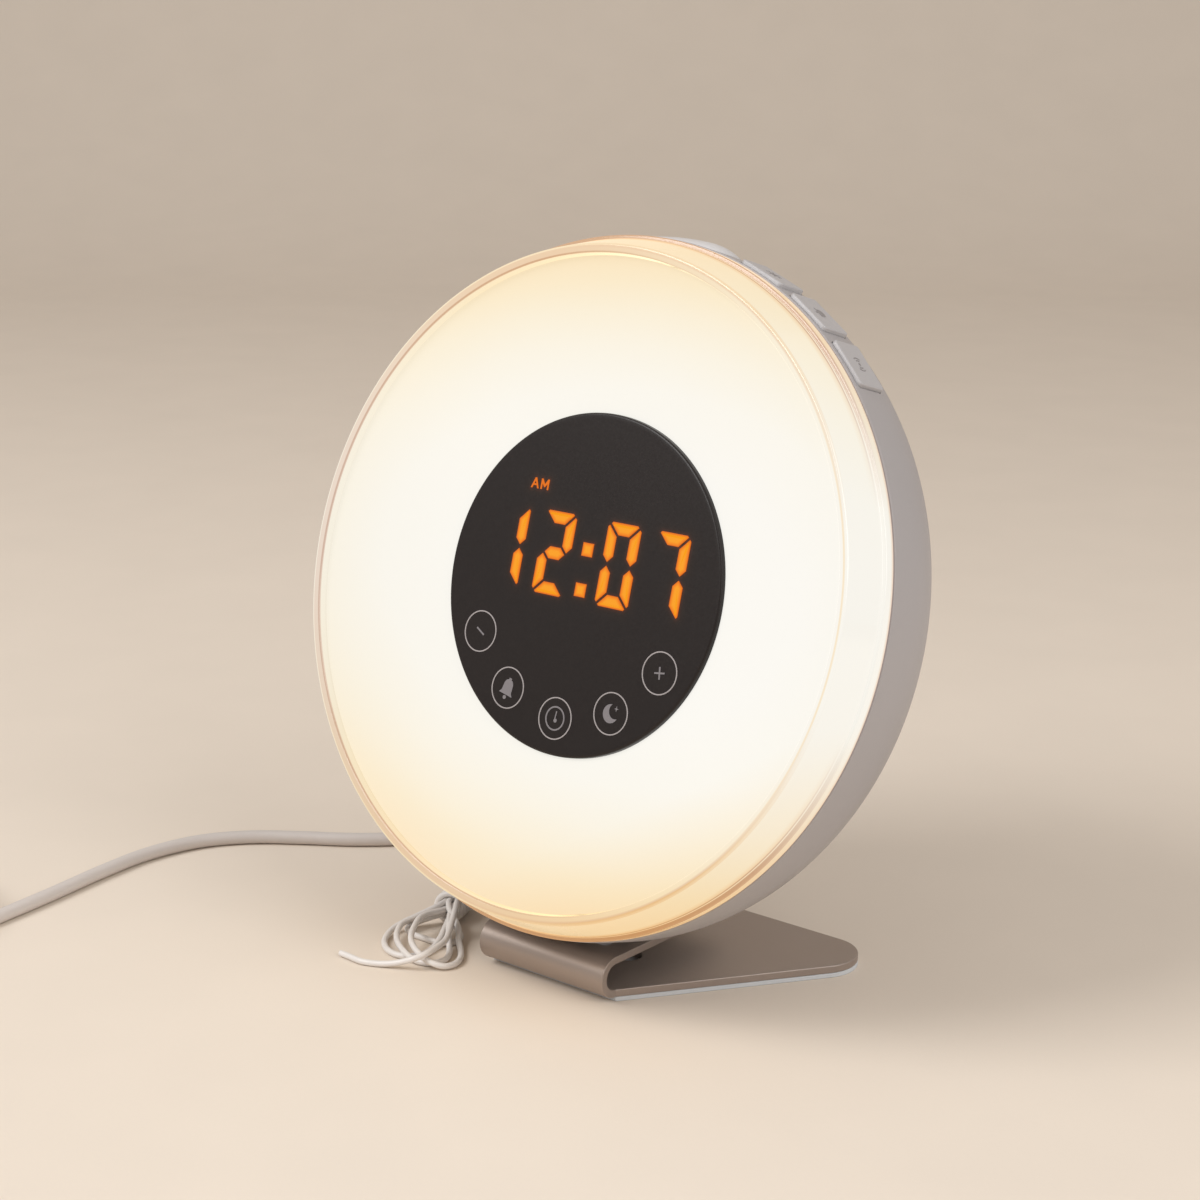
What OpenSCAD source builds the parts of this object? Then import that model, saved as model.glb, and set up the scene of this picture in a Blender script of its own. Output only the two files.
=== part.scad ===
// Sunrise alarm clock: a round lamp with a black touch display, held by a folded metal stand.
// World frame: X to the viewer's right, Y to the back, Z up, origin under the middle of the foot.
// Disc frame: x to the right, y up the face, z out of the face, origin on the touch panel's front.

/* [Disc] */
// Backward lean of the disc, degrees
tilt = 16.6; // [14:0.1:18]
// Gap between the stand's flap and the housing's lowest point
disc_gap = 0.8; // [0.5:0.1:4]
// Distance of the panel's middle in front of the foot's middle
disc_y = -20; // [-23:0.5:-18]
// Outer radius of the rear housing
housing_r = 86; // [85:0.1:86.5]
// Depth of the housing behind the touch panel's front
housing_depth = 47; // [46:0.5:50]
// Radius of the flat middle of the housing's back
back_flat_r = 40; // [38:0.5:44]
// Depth at which the housing's flank starts to curve in
flank_depth = 13; // [10:0.5:14]
// Wall of the moulded housing
housing_wall = 2.2; // [1.8:0.1:2.4]

/* [Front] */
// Radius of the black touch panel
panel_r = 42; // [41:0.5:43]
// Thickness of the touch panel
panel_t = 2; // [1.5:0.1:2.4]
// Height of the panel's front above the milky face next to it
panel_proud = 1.2; // [0.8:0.1:1.5]
// Distance of the milky face's edge inside the housing's outside
face_inset = 6.8; // [6.6:0.1:7.5]
// Depth of the milky face's dish
face_dish = 7.4; // [5:0.1:8]
// Wall of the milky face
face_wall = 2; // [1.5:0.1:2.5]
// Distance of the clear rim's front edge inside the housing's outside
rim_front_inset = 4.3; // [3.5:0.1:4.8]
// Height of the clear rim's front edge over the touch panel's front
rim_front_z = 8.6; // [8:0.1:10]
// Distance of the clear rim's foot inside the housing's outside
rim_foot_inset = 1.2; // [1:0.1:2]
// Thickness of the clear rim's flange
rim_flange_t = 3.2; // [2.5:0.1:4]
// Depth of the joint between the clear rim and the housing
rim_joint_depth = 4.4; // [4.2:0.1:5]

/* [Display] */
// Height of a digit
digit_h = 21; // [18:0.5:22]
// Width of a digit
digit_w = 10.4; // [9:0.1:11]
// Thickness of a digit's segment
segment_w = 3; // [2:0.1:3.4]
// Distance between the two digits of a pair
digit_pitch = 15; // [13:0.5:15.5]
// Distance from the display's middle to the nearer digit of each pair
pair_offset = 10.1; // [9:0.1:10.5]
// Height of the digits' middle over the panel's middle
display_y = 6; // [4:0.5:6.5]
// Distance of the touch keys' circle inside the panel's edge
icon_inset = 9; // [8.5:0.5:10]
// Radius of one touch key's ring
icon_r = 5.2; // [4.5:0.1:5.6]
// Height of printed and lit marks above their surface
mark_t = 0.12; // [0.1:0.01:0.2]

/* [Top and side keys] */
// Width of the snooze button across the housing
snooze_w = 33; // [28:0.5:36]
// Depth of the snooze button along the housing
snooze_d = 16; // [12:0.5:16]
// Height of the snooze button above the housing
snooze_proud = 1.9; // [1.5:0.1:3]
// Travel of the snooze button
snooze_travel = 1; // [0.5:0.1:1.2]
// Angle of the middle side key, measured from the right
key_mid_angle = 57.2; // [55:0.2:58]
// Angle between neighbouring side keys
key_pitch = 11.3; // [11.2:0.1:11.6]
// Length of a side key around the housing
key_w = 13.4; // [11:0.1:13.4]
// Width of a side key along the housing
key_d = 10; // [8:0.5:10]
// Height of a side key above the housing
key_proud = 0.9; // [0.9:0.1:2.6]
// Travel of a side key
key_travel = 0.8; // [0.4:0.1:0.9]
// Clearance around a key in its window
key_gap = 0.25; // [0.2:0.05:0.4]

/* [Stand] */
// Thickness of the folded sheet
sheet_t = 2; // [1.5:0.1:2.2]
// Thickness of the foot pad
pad_t = 1.2; // [0.8:0.1:1.6]
// Outer radius of the fold
fold_r = 5.25; // [5:0.05:6]
// Width of the sheet at the fold
waist_w = 40.4; // [38:0.2:44]
// Half the distance between the rear corners' centres
corner_x = 44; // [42:0.5:48]
// Place of the rear corners' centres behind the foot's middle
corner_y = 21; // [18:0.5:24]
// Radius of the rear corners
corner_r = 10; // [8:0.5:12]
// Place of the fold's front in front of the foot's middle
fold_front = 35.8; // [34:0.2:37]
// Length of the upper flap behind the fold's centre
flap_len = 44; // [40:0.5:48]

/* [Sound, power and battery] */
// Radius of the loudspeaker
speaker_r = 20; // [18:0.5:21]
// Height of the loudspeaker over the panel's middle
speaker_y = 14; // [12:0.5:15]
// Radius of a grille hole
grille_hole_r = 1.1; // [0.8:0.1:1.3]
// Diameter of the coin cell
cell_d = 20; // [19:0.1:20]
// Thickness of the coin cell
cell_t = 3.2; // [2.8:0.1:3.2]
// Width of the battery door
door_w = 27.4; // [26:0.2:28]
// Height of the battery door
door_h = 22.4; // [21:0.2:22.6]
// Thickness of the battery door
door_t = 1.8; // [1.6:0.1:2]
// Distance that the battery door lifts off
door_travel = 8; // [4:0.5:10]
// Diameter of the power plug's barrel
barrel_d = 5.5; // [5:0.1:5.5]
// Diameter of the power cord
cord_d = 3.8; // [3.6:0.1:4]
// Diameter of the aerial wire
aerial_d = 1.6; // [1.4:0.1:1.8]

/* [Hidden] */

$fn = 64;
eps = 0.01;       // overlap of cutting tools past the faces that they cut
fit_gap = 0.2;    // clearance of parts that drop into each other
screw_gap = 0.05; // clearance of a screw's thread in its pilot hole
arc_steps = 12;   // straight pieces in one rounded stretch

// Levels in the disc frame
joint_z = -rim_joint_depth;
back_z = -housing_depth;
flank_z = -flank_depth;
inner_r = housing_r - housing_wall;
face_r = housing_r - face_inset;
rim_flange_r = housing_r - 0.3;
rim_foot_r = housing_r - rim_foot_inset;
rim_front_r = housing_r - rim_front_inset;
rim_edge = 0.6;
panel_edge = 0.7;
face_z = -panel_proud;
seat_z = -panel_t;
holder_r = panel_r - 3.9;
holder_wall = 1.2;
holder_gap = 0.3;
pcb_t = 1.6;
chassis_front = joint_z - 6;
chassis_t = 2;
chassis_back = chassis_front - chassis_t;
chassis_r = inner_r - 0.9;
chassis_hole_r = holder_r - 8.1;
touch_board_t = 1;
touch_board_back = chassis_front + holder_wall;
touch_board_front = touch_board_back + touch_board_t;
icon_ring_r = panel_r - icon_inset;
icon_line = 0.3;
spring_r = 2.6;
spring_wire = 0.5;

// Marks of the display
segment_slit = 0.7;
segment_chamfer = 1.3;
display_x = 0.4;
dot_w = 3.3;
dots_y = [2.6, -7.3];
module_margin = 0.7;
letter_h = 2.6;
letter_w = 2.5;
letter_stroke = 0.42;
letters_at = [-21, 15];

// Light board and its rows of lamps
led_in_r = panel_r + 2;
led_out_r = face_r - 7.2;
led_front = chassis_front + pcb_t;
led_margin = 6;
led_edge = 2;
led_w = 3.5;
led_d = 2.8;
led_h = 0.8;
led_counts = [14, 18, 22];
led_step = (led_out_r - led_in_r - led_margin - led_edge) / 2;

// Main board
board_front = chassis_back - 8;
board_back = board_front - pcb_t;
board_w = 60;
board_top = 10 - chassis_hole_r;
board_bottom = 30 - housing_r;
board_h = board_top - board_bottom;
board_y = (board_top + board_bottom) / 2;
ribbon_w = 16;
ribbon_t = 0.4;
ribbon_y = 4 - chassis_hole_r;

// Chips and sockets on the board's back, from its middle: [x, y, width, height, thickness]
chip_boxes = [[-6, 2, 10, 10, 1.4], [10, 6, 7, 5, 1.2], [-20, 0, 5, 4, 1.1], [0, -12, 9, 5, 1.2],
              [17, -7, 11, 5, 5], [-19, -12, 8, 5, 5], [-10, 14, 12, 3, 3.4], [12, 14, 8, 3, 3.4]];

// Round capacitors: [x, y, radius, length]
chip_cans = [[24, 0, 3, 7], [-14, -6, 2.5, 6], [8, -4, 2, 5]];
board_post_r = 3;
board_inset = 4;
board_screw_r = 1.1;
board_screw_len = 8;

// Screws and posts between the housing and the chassis
post_angles = [15, 165, 248, 292];
post_circle_r = housing_r - 16;
post_r = 4;
post_split = chassis_back - 8;
post_seat = post_split - 9.6;
screw_r = 1.45;
screw_hole_r = 1.65;
screw_head_r = 2.8;
screw_head_t = 1.8;
housing_screw_len = 16;

// Side keys
key_angles = [key_mid_angle + key_pitch, key_mid_angle, key_mid_angle - key_pitch];
key_front = joint_z - 1.4;
key_mid = key_front - key_d / 2;
key_top = housing_r + key_proud;
key_lip = 1;
key_lip_t = 1.3;
lip_top = housing_r - housing_wall - 1.7;
key_foot = lip_top - key_lip_t;
flex_t = 0.8;
switch_w = 6;
plunger_r = 1.6;
plunger_h = 0.7;
switch_top = key_foot - key_travel - 0.15;
switch_h = 3.5;
flex_r = switch_top - plunger_h - switch_h;
bracket_t = 2;
snooze_mid = -17;
snooze_lip_gap = 0.2;
snooze_lip_t = 1.4;
snooze_lip_w = 1.5;
snooze_floor = inner_r - 12;
snooze_board_w = 14;
snooze_board_d = 9;
snooze_board_top = snooze_floor + bracket_t + flex_t;
snooze_stem = snooze_board_top + switch_h + plunger_h + snooze_travel + 0.15;

// Stand
fold_y = -fold_front + fold_r;
fold_z = pad_t + fold_r;
flap_top = pad_t + 2 * fold_r;
flap_bottom = flap_top - sheet_t;

// Height of the panel's middle over the table, from how far down the leaning housing reaches
bowl_reach = back_flat_r * cos(tilt) + flank_depth * sin(tilt)
    + norm([(housing_r - back_flat_r) * cos(tilt), (housing_depth - flank_depth) * sin(tilt)]);
disc_z = flap_top + disc_gap + bowl_reach;
block_w = 28;
block_front = -27;
block_back = flap_len + fold_y - 3;
block_top = 24;
stand_screws_at = [[-9, -12], [9, -12], [0, 4]];
stand_pillar_r = 4;
stand_screw_len = 11;
driver_hole_r = 3.4;

// Battery
cell_y = -24;
case_wall = 1.8;
door_recess = door_t + 0.1;
door_corner = 3;
cell_pocket_w = cell_d + 3.4;
cell_pocket_h = cell_d + 1.4;
cell_floor = back_z + 9.4;
contact_t = 0.4;
cell_front = cell_floor - contact_t;

// Loudspeaker
speaker_ear = 2.2;
speaker_seat = back_z + housing_wall + 3;
speaker_back = speaker_seat + 9;
speaker_screw_r = 0.9;
speaker_wall = 1.4;
magnet_r = 11;
magnet_t = 6;
dome_r = 5;
surround_w = 2.6;
grille_pitch = 4.2;
grille_margin = 4;

// Power inlet and plug
jack_x = -40;
jack_y = -40;
jack_face = bowl_height(norm([jack_x, jack_y])) + 1.4;
jack_r = 5.6;
jack_len = 13;
jack_boss_len = 12;
barrel_len = 9.5;
handle_r = 4.8;
handle_len = 20;
relief_len = 20;
jack_bore_r = barrel_d / 2 + 0.1;
plug_face = jack_face - 0.2;
plug_end = plug_face - handle_len;
relief_end = plug_end - relief_len;
usb_w = 15.6;
usb_t = 7.6;
usb_len = 22;
usb_shell_w = 12;
usb_shell_t = 4.5;
usb_shell_len = 12;

// Aerial
aerial_x = -52;
aerial_y = -48;
aerial_face = bowl_height(norm([aerial_x, aerial_y])) - 2.5;
aerial_boss_r = 4.4;
aerial_boss_len = 8;
grommet_r = 2.6;
grommet_lip = 0.8;
hank_from = [-48, -19];
hank_to = [-41, -36];
hank_w = 19;
hank_h = 7.5;

// Routes of the cords, centre lines in the world frame
power_route = [
    disc_point(jack_x, jack_y, relief_end), [-40.5, 56, 34.8], [-43, 63, 30], [-48, 68, 22], [-56, 69, 13],
    [-66, 64, 6], [-78, 52, 2.6], [-90, 38, 1.95], [-104, 25, 1.95], [-118, 8, 1.95],
    [-129, -12, 1.95], [-138, -28, 1.95], [-141, -48, 1.95], [-139.5, -66, 1.95],
    [-137, -82, 1.95], [-135.5, -94, 1.95], [-135.3, -106, 1.95]
];
aerial_route = [
    disc_point(aerial_x, aerial_y, aerial_face - grommet_lip),
    [-52, 12, 39], [-52, 15, 34], [-51.6, 15, 27], [-51, 11, 19],
    [-50, 4, 12], [-49.4, -3, 7], [-48.6, -9.5, 4.6]
];
tail_route = [
    [-37.6, -45, 2], [-38.4, -48.4, 1.4], [-40.8, -52, 0.95], [-45, -55, 0.9], [-50, -56.5, 0.9]
];

// Coil of the power cord: three turns side by side, three layers high
coil_turns_wide = 3;
coil_layers = 3;
coil_pitch = cord_d + 0.05;
coil_mid_r = 20.8;
coil_half = coil_turns_wide * coil_pitch / 2;
coil_h = coil_layers * coil_pitch;
coil_outer_r = coil_mid_r + (coil_turns_wide - 1) / 2 * coil_pitch;
coil_join = power_route[len(power_route) - 1];
coil_at = [coil_join.x - coil_outer_r, coil_join.y - 16];
usb_y = coil_at.y - usb_len / 2;

// Depth of the housing's outside at radius r, in the disc frame
function bowl_height(r) = -flank_depth - (housing_depth - flank_depth)
    * sqrt(1 - pow(max(0, r - back_flat_r) / (housing_r - back_flat_r), 2));

// A point of the disc frame in the world frame
function disc_point(x, y, z) =
    [x, disc_y + y * sin(tilt) - z * cos(tilt), disc_z + y * cos(tilt) + z * sin(tilt)];

function circle_points(cx, cy, r, a0, a1) =
    [for (i = [0 : arc_steps]) let (a = a0 + (a1 - a0) * i / arc_steps) [cx + r * cos(a), cy + r * sin(a)]];

// Moves its children from the disc frame into the world frame
module in_disc() {
    translate([0, disc_y, disc_z]) rotate([90 - tilt, 0, 0]) children();
}

// Outline of the housing moved outward by grow, from the joint, raised by lift, to the back's middle
function bowl_outline(grow, lift) = concat(
    [[0, joint_z + lift], [housing_r + grow, joint_z + lift], [housing_r + grow, flank_z]],
    [for (i = [1 : arc_steps]) let (a = 90 * i / arc_steps)
        [back_flat_r + (housing_r + grow - back_flat_r) * cos(a),
         flank_z - (housing_depth - flank_depth + grow) * sin(a)]],
    [[0, back_z - grow]]);

module bowl(grow, lift = 0) {
    rotate_extrude($fn = 128) polygon(bowl_outline(grow, lift));
}

module ring(r_out, r_in, z0, z1) {
    translate([0, 0, z0]) difference() {
        cylinder(r = r_out, h = z1 - z0);
        translate([0, 0, -eps]) cylinder(r = r_in, h = z1 - z0 + 2 * eps);
    }
}

// A flat shape with two round ends, w long and d deep
module pill(w, d) {
    square([w - d, d], center = true);
    for (side = [-1, 1]) translate([side * (w - d) / 2, 0]) circle(d = d);
}

// A box with rounded corners in plan
module round_rect(w, h, r) {
    square([w - 2 * r, h], center = true);
    square([w, h - 2 * r], center = true);
    for (x = [-1, 1], y = [-1, 1])
        translate([x * (w / 2 - r), y * (h / 2 - r)]) circle(r = r);
}

// ---------- Front ----------

// Height of the milky face at radius r
function face_height(r) = face_z + face_dish * (pow(r, 2) - pow(panel_r, 2)) / (pow(face_r, 2) - pow(panel_r, 2));

module clear_rim() {
    inner = face_r + holder_gap;
    color("bisque", 0.6) in_disc() rotate_extrude($fn = 128) polygon(concat(
        [[inner, joint_z], [rim_flange_r, joint_z], [rim_flange_r, joint_z + rim_flange_t],
         [rim_foot_r, joint_z + rim_flange_t]],
        circle_points(rim_front_r - rim_edge, rim_front_z - rim_edge, rim_edge, 15, 90),
        circle_points(inner + rim_edge, rim_front_z - rim_edge, rim_edge, 90, 180)));
}

module diffuser_face() {
    seat_r = panel_r + fit_gap;
    steps = 16;
    front = [for (i = [0 : steps]) let (r = seat_r + (face_r - seat_r) * i / steps) [r, face_height(r)]];
    under = [for (i = [steps : -1 : 0])
        let (r = seat_r + (face_r - face_wall - seat_r) * i / steps) [r, face_height(r) - face_wall]];
    color("linen") in_disc() rotate_extrude($fn = 128) polygon(concat(
        [[holder_r + holder_gap, seat_z]], [[seat_r, seat_z]], front,
        [[face_r, joint_z], [face_r - face_wall, joint_z]], under,
        [[holder_r + holder_gap, face_height(seat_r) - face_wall]]));
}

module touch_panel() {
    color([0.2, 0.18, 0.17]) in_disc() rotate_extrude($fn = 128) polygon(concat(
        [[0, seat_z], [panel_r, seat_z]],
        circle_points(panel_r - panel_edge, -panel_edge, panel_edge, 0, 90),
        [[0, 0]]));
}

// The top segment of a digit, mitred at both ends with its outer corners cut off
module top_segment() {
    w = digit_w / 2;
    h = digit_h / 2;
    half = segment_slit * sqrt(0.5) / 2;
    cut = segment_chamfer;
    mitre = w - segment_w - 2 * half;
    polygon([[cut - w, h], [w - cut, h], [w - cut / 2 - half, h - cut / 2 + half],
             [mitre, h - segment_w], [-mitre, h - segment_w], [cut / 2 + half - w, h - cut / 2 + half]]);
}

// The segment at a digit's upper right, mitred at the top and pointed at the middle
module side_segment() {
    w = digit_w / 2;
    h = digit_h / 2;
    half = segment_slit * sqrt(0.5) / 2;
    cut = segment_chamfer;
    polygon([[w, h - cut], [w - cut / 2 + half, h - cut / 2 - half],
             [w - segment_w, h - segment_w - 2 * half], [w - segment_w, segment_w / 2 + 2 * half],
             [w - segment_w / 2, 2 * half], [w, segment_w / 2 + 2 * half]]);
}

// The middle segment of a digit, pointed at both ends
module middle_segment() {
    half = segment_slit * sqrt(0.5) / 2;
    tip = (digit_w - segment_w) / 2 - 2 * half;
    flat = tip - segment_w / 2;
    polygon([[-tip, 0], [-flat, segment_w / 2], [flat, segment_w / 2],
             [tip, 0], [flat, -segment_w / 2], [-flat, -segment_w / 2]]);
}

// A digit made of the listed segments: 0 top, 1 middle, 2 bottom, 3 and 4 left, 5 and 6 right
module digit(lit) {
    for (s = lit) mirror([0, s == 2 || s == 4 || s == 6 ? 1 : 0, 0]) mirror([s == 3 || s == 4 ? 1 : 0, 0, 0]) {
        if (s == 1) middle_segment();
        else if (s == 0 || s == 2) top_segment();
        else side_segment();
    }
}

// The lit time 12:07, the colon and the two letters of the morning mark
module display_digits() {
    h = letter_h;
    w = letter_w;
    line = letter_stroke;
    far = pair_offset + digit_pitch;
    places = [-far, -pair_offset, pair_offset, far];
    shapes = [[5, 6], [0, 5, 1, 4, 2], [0, 3, 5, 4, 6, 2], [0, 5, 6]];
    color("orange") in_disc() translate([0, display_y, 0]) linear_extrude(mark_t) {
        for (i = [0 : 3]) translate([places[i] + display_x, 0]) digit(shapes[i]);
        for (y = dots_y) translate([display_x, y]) square(dot_w, center = true);
        translate(letters_at) {
            polygon([[0, 0], [line, 0], [w / 2, h - 1.6 * line], [w - line, 0], [w, 0],
                     [w / 2 + line / 2, h], [w / 2 - line / 2, h]]);
            translate([0.36 * w, 0.27 * h]) square([0.28 * w, line]);
        }
        translate(letters_at + [1.24 * w, 0]) polygon([[0, 0], [line, 0], [line, 0.58 * h],
            [w / 2, 0.2 * h], [w - line, 0.58 * h], [w - line, 0], [w, 0],
            [w, h], [w - line, h], [w / 2, 0.5 * h], [line, h], [0, h]]);
    }
}

function icon_angle(i) = -90 + 30 * (i - 2);

module at_icon(i) {
    translate([icon_ring_r * cos(icon_angle(i)), icon_ring_r * sin(icon_angle(i)), 0]) children();
}

// Five thin rings with a minus, a bell, a clock, a moon and a plus. u is a fifth of a ring's radius
module touch_icons() {
    u = icon_r / 5.2;
    bar = [3 * u, 1.4 * icon_line];
    color("gray") in_disc() linear_extrude(mark_t) {
        for (i = [0 : 4]) at_icon(i) difference() {
            circle(r = icon_r);
            circle(r = icon_r - icon_line);
        }
        at_icon(0) rotate(-30) square(bar, center = true);
        at_icon(1) rotate(-12) bell_mark(u);
        at_icon(2) clock_mark(u);
        at_icon(3) moon_mark(u);
        at_icon(4) for (a = [8, 98]) rotate(a) square(bar, center = true);
    }
}

module bell_mark(u) {
    polygon(concat([[-0.4 * u, 2.1 * u], [-0.4 * u, 2.5 * u], [0.4 * u, 2.5 * u], [0.4 * u, 2.1 * u]],
        circle_points(0, 0.7 * u, 1.45 * u, 70, 0),
        [[1.6 * u, -1 * u], [2.2 * u, -1.8 * u], [-2.2 * u, -1.8 * u], [-1.6 * u, -1 * u]],
        circle_points(0, 0.7 * u, 1.45 * u, 180, 110)));
    translate([0, -2.5 * u]) circle(r = 0.5 * u, $fn = 16);
}

module clock_mark(u) {
    difference() {
        circle(r = 3 * u);
        circle(r = 3 * u - 1.3 * icon_line);
    }
    translate([0.2 * u, -0.5 * u]) circle(r = 0.5 * u, $fn = 16);
    rotate(-6) translate([-icon_line / 2, -0.3 * u]) square([icon_line, 2.1 * u]);
}

module moon_mark(u) {
    difference() {
        circle(r = 2.3 * u);
        translate([1.3 * u, 0.8 * u]) circle(r = 1.9 * u);
    }
    translate([1.5 * u, 1.4 * u]) polygon([for (i = [0 : 7])
        let (r = i % 2 == 0 ? 0.7 * u : 0.2 * u) [r * cos(45 * i), r * sin(45 * i)]]);
}

// ---------- Display unit behind the panel ----------

module display_module() {
    w = 2 * (pair_offset + digit_pitch + module_margin) + digit_w;
    h = digit_h + 2 * module_margin;
    color("dimgray") in_disc() translate([display_x - w / 2, display_y - h / 2, touch_board_front])
        cube([w, h, seat_z - touch_board_front]);
}

module touch_board() {
    color("darkgreen") in_disc() translate([0, 0, touch_board_back])
        cylinder(r = holder_r - holder_wall - fit_gap, h = touch_board_t);
}

// Contact springs from the board to the back of the panel, one behind each touch key
module touch_springs() {
    color("silver") in_disc() for (i = [0 : 4]) at_icon(i)
        ring(spring_r, spring_r - spring_wire, touch_board_front, seat_z);
}

module display_holder() {
    color("white") in_disc() {
        ring(holder_r, holder_r - holder_wall, chassis_front, seat_z);
        ring(holder_r - holder_wall + eps, chassis_hole_r, chassis_front, touch_board_back);
    }
}

// ---------- Light ----------

module led_board() {
    color("ivory") in_disc() ring(led_out_r, led_in_r, chassis_front, led_front);
}

module leds() {
    color("yellow") in_disc() for (row = [0 : 2], i = [0 : led_counts[row] - 1])
        rotate(360 * i / led_counts[row])
            translate([led_in_r + led_margin + row * led_step - led_d / 2, -led_w / 2, led_front])
                cube([led_d, led_w, led_h]);
}

// White frame that carries the face, the lights, the boards and the key bracket
module front_chassis() {
    skirt_in = face_r - face_wall;
    boss_r = 3.5;
    color("whitesmoke") in_disc() difference() {
        union() {
            ring(chassis_r, chassis_hole_r, chassis_back, chassis_front);
            ring(chassis_r, skirt_in, chassis_front - eps, joint_z);
            for (a = post_angles) rotate(a) translate([post_circle_r, 0, post_split])
                cylinder(r = boss_r, h = chassis_back - post_split + eps);
            for (p = board_corners()) translate([p.x, p.y, board_front])
                cylinder(r = board_post_r, h = chassis_back - board_front + eps);
            key_bracket();
            snooze_bracket();
        }
        for (a = post_angles) rotate(a) translate([post_circle_r, 0, post_split - eps])
            cylinder(r = screw_r + screw_gap, h = chassis_back - post_split);
        for (p = board_corners()) translate([p.x, p.y, board_front - eps])
            cylinder(r = board_screw_r + screw_gap, h = chassis_back - board_front);
        key_room();
    }
}

// Room in the chassis's rim for the side keys and the snooze button
module key_room() {
    margin = 1.5;
    for (a = key_angles) rotate(a)
        translate([flex_r - flex_t, -key_w / 2 - margin, key_front - key_d - margin])
            cube([housing_r - flex_r, key_w + 2 * margin, key_d + 2 * margin]);
    translate([-snooze_w / 2 - 2.5, snooze_floor + bracket_t, chassis_back - eps])
        cube([snooze_w + 5, housing_r - snooze_floor, snooze_mid + snooze_d / 2 + 2.5 - chassis_back]);
}

// Flat seats behind the side keys, which hold the key board
module key_bracket() {
    for (a = key_angles) rotate(a)
        translate([flex_r - flex_t - bracket_t, -key_w / 2, key_front - key_d])
            cube([bracket_t, key_w, key_d]);
}

module snooze_bracket() {
    w = snooze_board_w + 2;
    back = snooze_mid - snooze_board_d / 2 - 1.5;
    translate([-w / 2, snooze_floor, back]) cube([w, bracket_t, chassis_back - back + eps]);
}

// ---------- Boards ----------

function board_corners() = [for (x = [-1, 1], y = [-1, 1])
    [x * (board_w / 2 - board_inset), board_y + y * (board_h / 2 - board_inset)]];

module main_board() {
    color("darkgreen") in_disc() difference() {
        translate([-board_w / 2, board_y - board_h / 2, board_back]) cube([board_w, board_h, pcb_t]);
        for (p = board_corners()) translate([p.x, p.y, board_back - eps])
            cylinder(r = board_screw_r + fit_gap, h = pcb_t + 2 * eps);
    }
}

module board_chips() {
    color("dimgray") in_disc() translate([0, board_y, board_back]) {
        for (b = chip_boxes) translate([b[0] - b[2] / 2, b[1] - b[3] / 2, -b[4]]) cube([b[2], b[3], b[4]]);
        for (c = chip_cans) translate([c[0], c[1], -c[3]]) cylinder(r = c[2], h = c[3]);
    }
}

module screw(head_r, head_t, shank_r, len) {
    translate([0, 0, -head_t]) cylinder(r = head_r, h = head_t);
    cylinder(r = shank_r, h = len);
}

module board_screws() {
    color("silver") in_disc() for (p = board_corners()) translate([p.x, p.y, board_back])
        screw(2.1, 1.3, board_screw_r, board_screw_len);
}

module ribbon_cable() {
    color("gainsboro") in_disc() translate([-ribbon_w / 2, ribbon_y, board_front])
        cube([ribbon_w, ribbon_t, touch_board_back - board_front]);
}

// ---------- Keys ----------

module along_key(a, r, w, d, h, corner) {
    rotate(a) translate([r, 0, key_mid]) rotate([0, 90, 0]) linear_extrude(h) round_rect(d, w, corner);
}

module side_key(a) {
    in_disc() {
        along_key(a, key_foot, key_w, key_d, key_top - key_foot, 1);
        along_key(a, key_foot, key_w + 2 * key_lip, key_d + 2 * key_lip, key_lip_t, 1);
    }
}

module key_light() { color("gainsboro") side_key(key_angles[0]); }
module key_alarm() { color("gainsboro") side_key(key_angles[1]); }
module key_radio() { color("gainsboro") side_key(key_angles[2]); }

module snooze_prism(grow, from, to) {
    translate([0, from, snooze_mid]) rotate([-90, 0, 0]) linear_extrude(to - from)
        pill(snooze_w + 2 * grow, snooze_d + 2 * grow);
}

module snooze_button() {
    under = housing_wall + snooze_lip_gap + snooze_lip_t;
    color("white") in_disc() {
        intersection() {
            snooze_prism(0, snooze_floor, housing_r + 10);
            difference() {
                bowl(snooze_proud);
                bowl(-under, 1);
            }
        }
        intersection() {
            snooze_prism(snooze_lip_w, snooze_floor, housing_r + 10);
            difference() {
                bowl(-under + snooze_lip_t);
                bowl(-under, 1);
            }
        }
        translate([0, snooze_stem, snooze_mid]) rotate([-90, 0, 0]) cylinder(r = 3, h = 4);
    }
}

module tact_switch() {
    translate([-switch_w / 2, -switch_w / 2, 0]) cube([switch_w, switch_w, switch_h]);
    translate([0, 0, switch_h]) cylinder(r = plunger_r, h = plunger_h);
}

module key_switches() {
    color("dimgray") in_disc() {
        for (a = key_angles) rotate(a) translate([flex_r, 0, key_mid]) rotate([0, 90, 0]) tact_switch();
        translate([0, snooze_board_top, snooze_mid]) rotate([-90, 0, 0]) tact_switch();
    }
}

// Small boards under the side keys and the snooze button
module key_board() {
    color("darkgreen") in_disc() {
        for (a = key_angles) rotate(a) translate([flex_r - flex_t, -key_w / 2 + 1, key_mid - 4])
            cube([flex_t, key_w - 2, 8]);
        translate([-snooze_board_w / 2, snooze_floor + bracket_t, snooze_mid - snooze_board_d / 2])
            cube([snooze_board_w, flex_t, snooze_board_d]);
    }
}

// ---------- Housing ----------

// Block that stands on the stand's flap
module stand_block() {
    translate([-block_w / 2, block_front, flap_top])
        cube([block_w, block_back - block_front, block_top - flap_top]);
}

module stand_pillars() {
    for (p = stand_screws_at) translate([p.x, p.y, flap_top])
        cylinder(r = stand_pillar_r, h = block_top - flap_top);
}

module housing_posts() {
    for (a = post_angles) rotate(a) translate([post_circle_r, 0, back_z])
        cylinder(r = post_r, h = post_split - back_z);
}

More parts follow.
